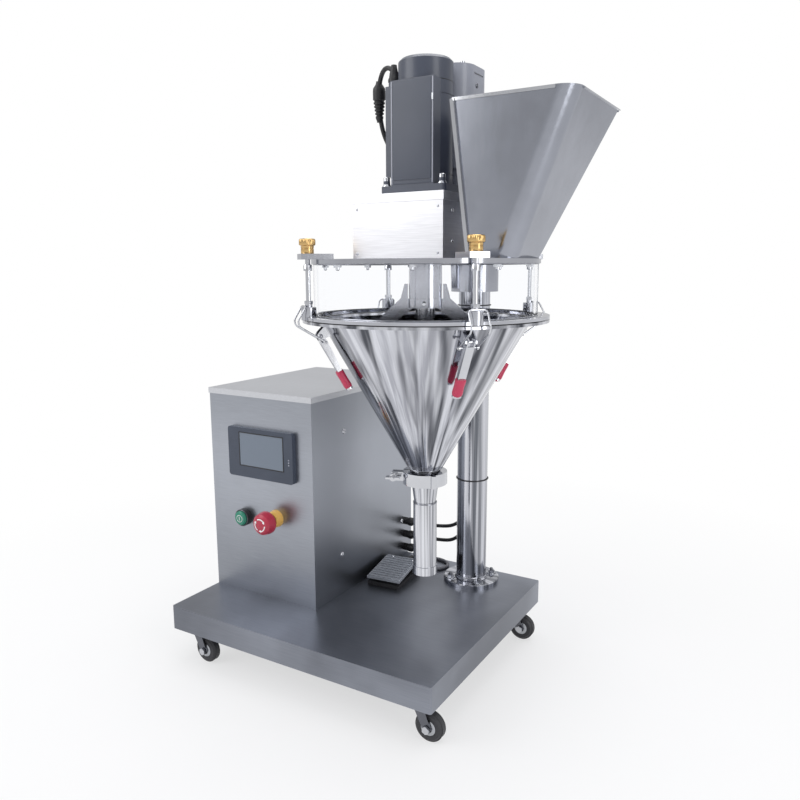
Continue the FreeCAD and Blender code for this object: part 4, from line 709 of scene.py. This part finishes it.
def add_servo_connector():
    """The elbow on the servo's cap and the ribbed backshell that hangs on its lead."""
    elbow = [(0, 0), (0.0088, 0), (0.0088, 0.004), (0.0074, 0.006), (0.0066, 0.012), (0.0048, 0.02)]
    elbow += [(0.0042, 0.024), (0, 0.024)]
    lathe("ServoElbow", elbow, on_deck(*SERVO_LEAD[0]) - UP * 0.003, UP, "black", "machine", 32)
    start, end = on_deck(80, -55, 864), on_deck(75.6, -47, 806)
    run = (end - start).length
    shell = [(0, 0), (0.0042, 0), (0.0050, 0.004), (0.0092, 0.010), (0.0096, 0.014), (0.0096, 0.026)]
    for rib in range(5):
        up = 0.028 + rib * 0.005
        wide = 0.0088 - 0.0007 * rib
        groove = wide - 0.0012
        shell += [(groove, up), (groove, up + 0.0012), (wide, up + 0.0018), (wide, up + 0.0042)]
    shell += [(0.0042, run - 0.002), (0.0040, run), (0, run)]
    lathe("ServoBackshell", shell, start, end - start, "black", "machine", 32)


def add_servo_details():
    """The servo's flat front cover with light strips on its front corners as painted highlights, the cap's
    seam, bolts and side ribs.
    """
    base = high("housing_lid").z
    front = low("servo_motor").y
    left, right = HEAD.x - SERVO_HALF, HEAD.x + SERVO_HALF
    for name, proud, up, size in (("ServoCover", 0.0008, 0.0225, (63, 1.6, 136)),
                                  ("ServoCoverFoot", 0.0006, 0.0165, (63, 1.4, 4.6))):
        plate_bar(name, Vector((left + 0.0035, front - proud, base + up)), size, "servo_panel")
    # Painted highlights: light grey strips on the dark servo's front corners.
    for name, across in (("Left", left + 0.0004), ("Right", right - 0.0024)):
        corner = Vector((across, front - 0.0005, base + 0.017))
        plate_bar("ServoArrisHighlight" + name, corner, (2, 1.4, 142), "stir", bevel=0.0004)
    tag = Vector((right - 0.0026, front - 0.0012, base + 0.128))
    plate_bar("ServoTag", tag, (2.4, 2, 9), "zinc", bevel=0.0003)
    hoop("ServoSeam", Vector((HEAD.x, HEAD.y, base + SERVO_PAD_TOP)), 0.0398, 0.0006, "black")
    washer = [(0, 0.0035), (0.0052, 0.0035), (0.0068, 0.0004), (0.0068, 0), (0, 0)]
    for index, (side_x, side_y) in enumerate(CORNERS):
        shift = Vector((side_x * SERVO_BOLT[0], side_y * SERVO_BOLT[1], 0))
        place = Vector((HEAD.x, HEAD.y, base + SERVO_FLANGE)) + shift
        lathe("ServoWasher%d" % index, washer, place, UP, "bright", "machine", 24)
        socket_screw("ServoScrew%d" % index, place + UP * 0.008, UP, 0.0047, "machine", "bright", 0.0055)
    for index, up in enumerate((0.05, 0.075, 0.1, 0.125)):
        corner = Vector((HEAD.x - 0.0545, HEAD.y - 0.022, base + up))
        plate_bar("ServoRib%d" % index, corner, (2, 22, 1.6), "servo_panel", bevel=0.0004)
    add_servo_connector()


def add_stir_details():
    """Bands round the stirring motor, its cover screws and the gland of its lead."""
    lowest, highest = low("stir_motor"), high("stir_motor")
    centre = (lowest + highest) / 2
    half = (highest.x - lowest.x) / 2
    run = 2 * (half - 0.028) / MM
    for name, up in (("Top", highest.z - 0.012), ("Gear", lowest.z + 0.046)):
        for index, (side_x, side_y) in enumerate(((0, -1), (1, 0), (0, 1), (-1, 0))):
            wide, deep = (run, 1.2) if side_x == 0 else (1.2, run)
            corner = Vector((centre.x + side_x * half - wide * MM / 2,
                             centre.y + side_y * half - deep * MM / 2, up))
            plate_bar("Stir%sBand%d" % (name, index), corner, (wide, deep, 1.6), "dark_steel", bevel=0.0003)
    for index, (side_x, side_y) in enumerate(CORNERS):
        place = Vector((centre.x + side_x * 0.031, centre.y + side_y * 0.031, highest.z))
        socket_screw("StirScrew%d" % index, place, UP, 0.0035, "machine", "bright", 0.003)
    place = Vector((highest.x, centre.y - 0.006, highest.z - 0.028))
    pan_screw("StirSideScrew", place, RIGHT, 0.0042, "machine", "dark_steel")
    gland = [(0, 0), (0.009, 0), (0.009, 0.007), (0.0072, 0.009), (0.0066, 0.014), (0.0045, 0.022),
             (0, 0.022)]
    lathe("StirGland", gland, on_deck(*STIR_LEAD[0]) + FRONT * 0.001, BACK, "black", "machine", 32)


# ---- feed hopper
def feed_corner(step, back, rise):
    """A corner of the feed hopper at the given share of its height; step and back pick the corner."""
    foot = (FEED_FOOT[0] + FEED_FOOT_SIZE[0] * step, FEED_FOOT[1] + FEED_FOOT_SIZE[1] * back)
    mouth = (FEED_MOUTH[0] + FEED_MOUTH_SIZE[0] * step, FEED_MOUTH[1] + FEED_MOUTH_SIZE[1] * back)
    across = foot[0] + (mouth[0] - foot[0]) * rise
    along = foot[1] + (mouth[1] - foot[1]) * rise
    return at_head(across, along, FEED_FOOT_UP + FEED_RISE * rise)


def add_feed_details():
    """Folded seams down the hopper's left corners, each with a dark strip beside it as painted shade in the
    fold, a hem round the mouth and a foot weld.
    """
    for name, back, side in (("Front", 0, FRONT), ("Rear", 1, BACK)):
        start, end = feed_corner(0, back, 0.012), feed_corner(0, back, 0.992)
        seam = LEFT * 0.0006 + side * 0.0012
        bar_between("FeedSeam" + name, start + seam, end + seam, 0.0022, 0.0050, "bright")
        # Painted shade: a thin dark strip beside the seam where the sheet folds.
        fold_shade = RIGHT * 0.0036 + side * 0.0006
        bar_between("FeedFoldShade" + name, start + fold_shade, end + fold_shade, 0.0030, 0.0010, "dark_steel", bevel=0.0003)
    thin, tall, bend = 0.0016, 0.0044, 0.027
    drop = DOWN * 0.0024
    hems = (("Front", (0, 0), (1, 0), Vector(), LEFT * bend, FRONT, (thin, tall)),
            ("Rear", (0, 1), (1, 1), Vector(), Vector(), BACK, (thin, tall)),
            ("Right", (1, 0), (1, 1), BACK * bend, Vector(), RIGHT, (tall, thin)),
            ("Left", (0, 0), (0, 1), Vector(), Vector(), LEFT, (tall, thin)))
    for name, first, last, start_cut, end_cut, side, (width, depth) in hems:
        shift = side * 0.0006 + drop
        start, end = feed_corner(*first, 1) + start_cut + shift, feed_corner(*last, 1) + end_cut + shift
        bar_between("FeedHem" + name, start, end, width, depth, "bright")
    weld = FRONT * 0.0008 + UP * 0.0009
    start, end = feed_corner(0, 0, 0) + weld, feed_corner(1, 0, 0) + LEFT * 0.024 + weld
    bar_between("FeedWeldFront", start, end, 0.0018, 0.0018, "turned")


# ---- head plate, sight ring and rods
def add_plate_nuts():
    """The nuts and stud ends that hang under the head plate."""
    plate = low("top_plate").z
    stud = [(0, 0), (0.0028, 0), (0.0028, 0.0030), (0.0020, 0.0040), (0, 0.0044)]
    for index in range(PLATE_BOLTS):
        out = outward(360 / PLATE_BOLTS * (index + 0.5)) * PLATE_BOLT_RADIUS
        place = Vector((HEAD.x + out.x, HEAD.y + out.y, plate - 0.0052))
        hex_nut("PlateNut%d" % index, place, UP, 0.0058, 0.005, "machine")
        lathe("PlateStud%d" % index, stud, place, DOWN, "bright", "machine", 20)


def add_head_details():
    """Rod nuts and ferrules, beads at the clear ring's edges, and the screws of hub and housing."""
    add_plate_nuts()
    ferrule = [(0.0036, 0), (0.0062, 0), (0.0062, 0.007), (0.0052, 0.009), (0.0036, 0.009)]
    for index, angle in enumerate(STATIONS):
        hex_nut("RodNut%d" % index, at_station(angle, ROD_RADIUS, ROD_NUT_UP), UP, 0.0064, 0.005, "machine")
        place = at_station(angle, ROD_RADIUS, ROD_FERRULE_UP)
        lathe("RodFerrule%d" % index, ferrule, place, UP, "bright", "machine", 28)
    for name, up in (("Low", low("sight_ring").z + 0.0008), ("High", low("top_plate").z - 0.0008)):
        hoop("SightBead" + name, Vector((HEAD.x, HEAD.y, up)), 0.1692, 0.0007, "turned")
    for index in range(4):
        place = at_station(90 * index + 35, 31.5, 606)
        socket_screw("BearingScrew%d" % index, place, UP, 0.0032, "machine", "bright", 0.004)
    for index, angle in enumerate((-65, 115)):
        out = outward(angle)
        place = at_head(0, 0, 532.5) + out * 0.0258
        socket_screw("HubScrew%d" % index, place, out, 0.0036, "agitator", "bright", 0.0035)
    front, right = low("drive_housing").y, high("drive_housing").x
    for index, (across, up) in enumerate(((-64, 606), (68, 606), (-64, 668), (68, 668))):
        place = Vector((HEAD.x + across * MM, front, DECK.z + up * MM))
        pan_screw("HouseScrew%d" % index, place, FRONT, 0.0021, "machine")
    for index in range(6):
        along, up = (-60, 40, 110)[index // 2], (622, 664)[index % 2]
        place = Vector((right, HEAD.y + along * MM, DECK.z + up * MM))
        pan_screw("HouseSideScrew%d" % index, place, RIGHT, 0.0028, "machine")


# ---- touch panel and buttons
def add_panel_details():
    """The recessed border of the glass and three small dots beside it."""
    start, end = low("hmi_screen"), high("hmi_screen")
    edge, deep = 0.0016, 0.0012
    front = start.y - 0.0006
    wide, tall = end.x - start.x, end.z - start.z
    borders = (("Top", (start.x - edge, front, end.z), (wide + 2 * edge, deep, edge)),
               ("Bottom", (start.x - edge, front, start.z - edge), (wide + 2 * edge, deep, edge)),
               ("Left", (start.x - edge, front, start.z), (edge, deep, tall)),
               ("Right", (end.x, front, start.z), (edge, deep, tall)))
    for name, corner, size in borders:
        rounded_bar("GlassEdge" + name, Vector(corner), size, 0.0003, "black", "machine")
    dot = [(0, 0.0004), (0.0011, 0.0004), (0.0013, 0), (0, 0)]
    for index in range(3):
        place = Vector((end.x + 0.0125, low("hmi_housing").y, start.z + 0.012 + 0.0045 * index))
        lathe("PanelDot%d" % index, dot, place, FRONT, "stir", "machine", 20)


def arc_arrow(name, centre, radius, start, sweep, body):
    """A flat curved arrow on the dome of a push button that faces forward."""
    bm = bmesh.new()
    steps, half, head_half, head_run, thick = 14, 0.0009, 0.0026, 0.0044, 0.0004

    def spot(reach, angle):
        lift = -0.0015 * min(1, reach / 0.014) + 0.0002
        return bm.verts.new((reach * math.cos(angle), reach * math.sin(angle), lift))

    sweeps = [start + sweep * step / steps for step in range(steps + 1)]
    rows = [(spot(radius - half, angle), spot(radius + half, angle)) for angle in sweeps]
    for (inner, outer), (next_inner, next_outer) in zip(rows, rows[1:]):
        bm.faces.new((inner, outer, next_outer, next_inner))
    end = start + sweep
    tip = end + math.copysign(head_run / radius, sweep)
    bm.faces.new((spot(radius - head_half, end), spot(radius + head_half, end), spot(radius, tip)))
    solid = bmesh.ops.extrude_face_region(bm, geom=bm.faces[:])
    for item in solid["geom"]:
        if isinstance(item, bmesh.types.BMVert):
            item.co.z += thick
    bmesh.ops.recalc_face_normals(bm, faces=bm.faces)
    bm.transform(Matrix.Translation(centre) @ facing(FRONT))
    return mesh_piece(name, bm, "white", body, False)


def front_centre(node):
    """The middle of a node's front face."""
    place = middle(node)
    place.y = low(node).y
    return place


def add_button_details():
    """Turn arrows on the stop button, a white ring as a painted highlight and a bar on the start button."""
    for index in range(3):
        start = math.radians(120 * index)
        arc_arrow("StopArrow%d" % index, front_centre("estop_head"), 0.0105, start, math.radians(-78),
                  "estop_head")
    cap = front_centre("start_button_cap")
    # Painted highlight: a thin white ring on the start cap's lens.
    hoop("StartHighlightRing", cap + BACK * 0.0003, 0.0062, 0.0005, "white", "start_button_cap", FRONT)
    corner = cap + Vector((-0.0006, -0.0005, -0.0032))
    rounded_bar("StartBar", corner, (0.0012, 0.0010, 0.0064), 0.0003, "white", "start_button_cap")
    rim = Vector((cap.x, low("start_button_bezel").y + 0.0004, cap.z))
    hoop("StartRim", rim, 0.0145, 0.0007, "dark_steel", "machine", FRONT)


# ---- cabinet, glands and ties
def add_cabinet_details():
    """Screws on the side walls and the rear cover, and the cover's row of vents."""
    start, end = low("cabinet_shell"), high("cabinet_shell")
    size = 0.0046
    for index, (back, up) in enumerate(((93, 301), (81, 75), (293, 300), (293, 74))):
        along, height = start.y + back * MM, DECK.z + up * MM
        pan_screw("SideScrew%d" % index, Vector((end.x, along, height)), RIGHT, size, "machine")
        pan_screw("LeftScrew%d" % index, Vector((start.x, along, height)), LEFT, size, "machine")
    rear, left = high("cabinet_rear_cover").y, low("cabinet_rear_cover").x
    for index in range(6):
        across, up = (18, 211)[index % 2], (20, 345, 182)[index // 2]
        place = Vector((left + across * MM, rear, DECK.z + up * MM))
        pan_screw("RearScrew%d" % index, place, BACK, size, "machine")
    for row in range(7):
        corner = Vector((left + 0.0645, rear - 0.0006, DECK.z + 0.25 + 0.012 * row))
        rounded_bar("Vent%d" % row, corner, (0.10, 0.0012, 0.004), 0.0005, "black", "machine")


def add_gland_details():
    """Nuts and tapered sleeves where the leads enter the cabinet."""
    nut = [(0, 0.001), (0.0078, 0.001), (0.0086, 0.003), (0.0086, 0.0085), (0.0078, 0.010), (0.0066, 0.011)]
    for index, (route, radius) in enumerate(((PEDAL_CORD, 0.003), (SERVO_LEAD, 0.0035), (STIR_LEAD, 0.0035))):
        sleeve = [(0.0052, 0.013), (radius + 0.0014, 0.022), (radius + 0.0006, 0.034)]
        sleeve += [(radius * 0.9, 0.036), (0, 0.036)]
        place = on_deck(*route[-1]) + LEFT * 0.0105
        lathe("GlandSleeve%d" % index, nut + sleeve, place, RIGHT, "black", "machine", 28)


def add_cord_ties():
    """Cable ties that hold the two leads along the back of the column."""
    for index, up in enumerate((200, 400, 520)):
        hoop("PostTie%d" % index, POST + UP * up * MM, 0.0290, 0.0011, "black")


# ---- column, clamp, casters and pedal
def add_column_details():
    """The weld at the column's foot, and the washers and stud ends of its bolts."""
    washer = [(0, 0.0012), (0.0088, 0.0012), (0.0092, 0.0008), (0.0092, 0), (0, 0)]
    stud = [(0, 0.004), (0.0026, 0.004), (0.0030, 0.0034), (0.0030, 0), (0, 0)]
    for index in range(4):
        place = POST + outward(45 + 90 * index) * 0.041 + UP * 0.0082
        lathe("FootWasher%d" % index, washer, place, UP, "zinc", "machine", 28)
        lathe("FootStud%d" % index, stud, place + UP * 0.0052, UP, "dark_steel", "machine", 20)
    hoop("FootWeld", POST + UP * 0.0118, 0.0288, 0.0012, "turned")


def add_spout_details():
    """Fine turned lines on the spout, weld beads on the cone and the nut of the clamp."""
    for index, up in enumerate((112.2, 216.5, 217.8)):
        hoop("SpoutLine%d" % index, at_head(0, 0, up), 0.0188, 0.0004, "turned")
    for name, radius, up in (("Neck", 0.0214, 270), ("Seam", 0.0272, 274)):
        hoop("Cone" + name + "Weld", at_head(0, 0, up), radius, 0.0005, "turned")
    hoop("ConeRimWeld", at_head(0, 0, 505.2), 0.1598, 0.0009, "turned")
    turn = Matrix.Rotation(math.radians(-160), 3, "Z")
    place = HEAD + turn @ Vector((0.049, -0.0135, 0.259))
    hex_nut("ClampHeadNut", place, turn @ BACK, 0.0062, 0.0045, "machine")


def add_caster_details():
    """Hub caps and tread lines on each wheel, and an axle nut on each side of its fork."""
    cap = [(0.0046, 0.0016), (0.010, 0.0012), (0.0122, 0.0003), (0.0122, 0), (0.0046, 0)]
    for corner in ("front_left", "front_right", "rear_left", "rear_right"):
        wheel, fork = "caster_wheel_" + corner, "caster_fork_" + corner
        centre = middle(wheel)
        fork_half = (high(fork).y - low(fork).y) / 2
        for name, side in (("Near", FRONT), ("Far", BACK)):
            end = "%s_%s" % (name, corner)
            lathe("Hub" + end, cap, centre + side * 0.0078, side, "zinc", wheel, 32)
            hex_nut("AxleNut" + end, centre + side * (fork_half - 0.0030), side, 0.0066, 0.0042, fork)
            hoop("Tread" + end, centre + side * 0.0046, 0.0229, 0.0004, "rubber", wheel, BACK)


def add_pedal_details():
    """Two screws through the treadle and the tapered sleeve where its cord leaves."""
    start, follow = on_deck(*PEDAL_CORD[0]), on_deck(*PEDAL_CORD[1])
    sleeve = [(0, 0), (0.0052, 0), (0.0052, 0.003), (0.0046, 0.006), (0.0036, 0.018), (0.0031, 0.022),
              (0, 0.022)]
    place = start - (follow - start).normalized() * 0.004
    lathe("PedalSleeve", sleeve, place, follow - start, "black", "machine", 28)
    back_edge = high("pedal_treadle")
    for index, side in enumerate((-1, 1)):
        place = Vector((middle("pedal_treadle").x + side * 0.022, back_edge.y - 0.009, back_edge.z - 0.0008))
        pan_screw("TreadleScrew%d" % index, place, UP, 0.0026, "pedal_treadle")


# ---- everything together
EDGE_WIDTHS = {
    "base_deck": 0.0022, "cabinet_lid": 0.0011, "cabinet_shell": 0.0009, "housing_lid": 0.0011,
    "drive_housing": 0.0009, "hmi_housing": 0.0012, "top_plate": 0.0007, "servo_motor": 0.0008,
    "stir_motor": 0.0007, "head_arm": 0.0008,
}
for name, width in EDGE_WIDTHS.items():
    soften(name, width)
add_latches()
add_servo_details()
add_stir_details()
add_feed_details()
add_head_details()
add_panel_details()
add_button_details()
add_cabinet_details()
add_gland_details()
add_cord_ties()
add_column_details()
add_spout_details()
add_caster_details()
add_pedal_details()


# ---- floor, light and backdrop
def background_rays(tree, glossy):
    """1 for camera and transmission rays, and the given share for glossy rays."""
    path = tree.nodes.new("ShaderNodeLightPath")
    share = tree.nodes.new("ShaderNodeMath")
    share.operation = "MULTIPLY"
    share.inputs[1].default_value = glossy
    tree.links.new(path.outputs["Is Glossy Ray"], share.inputs[0])
    total = share.outputs[0]
    for ray in ("Is Camera Ray", "Is Transmission Ray"):
        largest = tree.nodes.new("ShaderNodeMath")
        largest.operation = "MAXIMUM"
        tree.links.new(total, largest.inputs[0])
        tree.links.new(path.outputs[ray], largest.inputs[1])
        total = largest.outputs[0]
    return total


def add_stage():
    bm = bmesh.new()
    bmesh.ops.create_grid(bm, x_segments=1, y_segments=1, size=9)
    data = bpy.data.meshes.new("Floor")
    bm.to_mesh(data)
    bm.free()
    floor = link(bpy.data.objects.new("Floor", data))
    floor.location = (0, 0, -0.0005)
    shader = Shader("FloorPaint", (0.8, 0.8, 0.81), 0.9)
    shader.vary_color(shader.noise(3), (0.79, 0.79, 0.80), (0.81, 0.81, 0.82))
    tree = shader.tree
    white = tree.nodes.new("ShaderNodeEmission")
    reach = tree.nodes.new("ShaderNodeVectorMath")
    reach.operation = "LENGTH"
    tree.links.new(shader.coords, reach.inputs[0])
    far = shader.span(reach.outputs["Value"], 0.35, 1.3, 0.62, 1.0)
    seen = tree.nodes.new("ShaderNodeMath")
    seen.operation = "MULTIPLY"
    tree.links.new(background_rays(tree, 0.8), seen.inputs[0])
    tree.links.new(far, seen.inputs[1])
    mix = tree.nodes.new("ShaderNodeMixShader")
    tree.links.new(seen.outputs[0], mix.inputs["Fac"])
    tree.links.new(shader.bsdf.outputs["BSDF"], mix.inputs[1])
    tree.links.new(white.outputs["Emission"], mix.inputs[2])
    tree.links.new(mix.outputs["Shader"], tree.nodes["Material Output"].inputs["Surface"])
    data.materials.append(shader.material)


def add_world():
    world = bpy.data.worlds.new("Studio")
    bpy.context.scene.world = world
    world.use_nodes = True
    tree = world.node_tree
    back = tree.nodes["Background"]
    coords = tree.nodes.new("ShaderNodeTexCoord")
    split = tree.nodes.new("ShaderNodeSeparateXYZ")
    tree.links.new(coords.outputs["Generated"], split.inputs["Vector"])
    ramp = tree.nodes.new("ShaderNodeValToRGB")
    stops = ((0.0, 0.34), (0.48, 0.5), (0.56, 0.16), (0.68, 0.5), (0.85, 0.8), (1.0, 0.5))
    while len(ramp.color_ramp.elements) < len(stops):
        ramp.color_ramp.elements.new(0.5)
    for element, (place, level) in zip(ramp.color_ramp.elements, stops):
        element.position = place
        element.color = (level * 0.97, level * 0.985, level * 1.03, 1)
    span = tree.nodes.new("ShaderNodeMapRange")
    span.inputs["From Min"].default_value = -1
    tree.links.new(split.outputs["Z"], span.inputs["Value"])
    tree.links.new(span.outputs["Result"], ramp.inputs["Fac"])
    mix = tree.nodes.new("ShaderNodeMix")
    mix.data_type = "RGBA"
    tree.links.new(background_rays(tree, 0.45), mix.inputs["Factor"])
    tree.links.new(ramp.outputs["Color"], mix.inputs["A"])
    mix.inputs["B"].default_value = (1, 1, 1, 1)
    tree.links.new(mix.outputs["Result"], back.inputs["Color"])


def add_light(name, place, target, size, power):
    data = bpy.data.lights.new(name, "AREA")
    data.shape = "RECTANGLE"
    data.size, data.size_y = size
    data.energy = power
    light = link(bpy.data.objects.new(name, data))
    light.matrix_world = Matrix.Translation(place) @ facing(Vector(place) - Vector(target))


def add_lights():
    aim = (0, 0, 0.5)
    add_light("KeySoftbox", (-2.0, -2.2, 2.1), aim, (2.2, 2.2), 40)
    add_light("SideStrip", (2.4, -0.8, 1.1), aim, (0.9, 2.0), 16)
    add_light("TopSoftbox", (0.2, 0.2, 2.8), aim, (2.2, 1.8), 34)


add_stage()
add_world()
add_lights()
bpy.context.scene.view_settings.view_transform = "Standard"
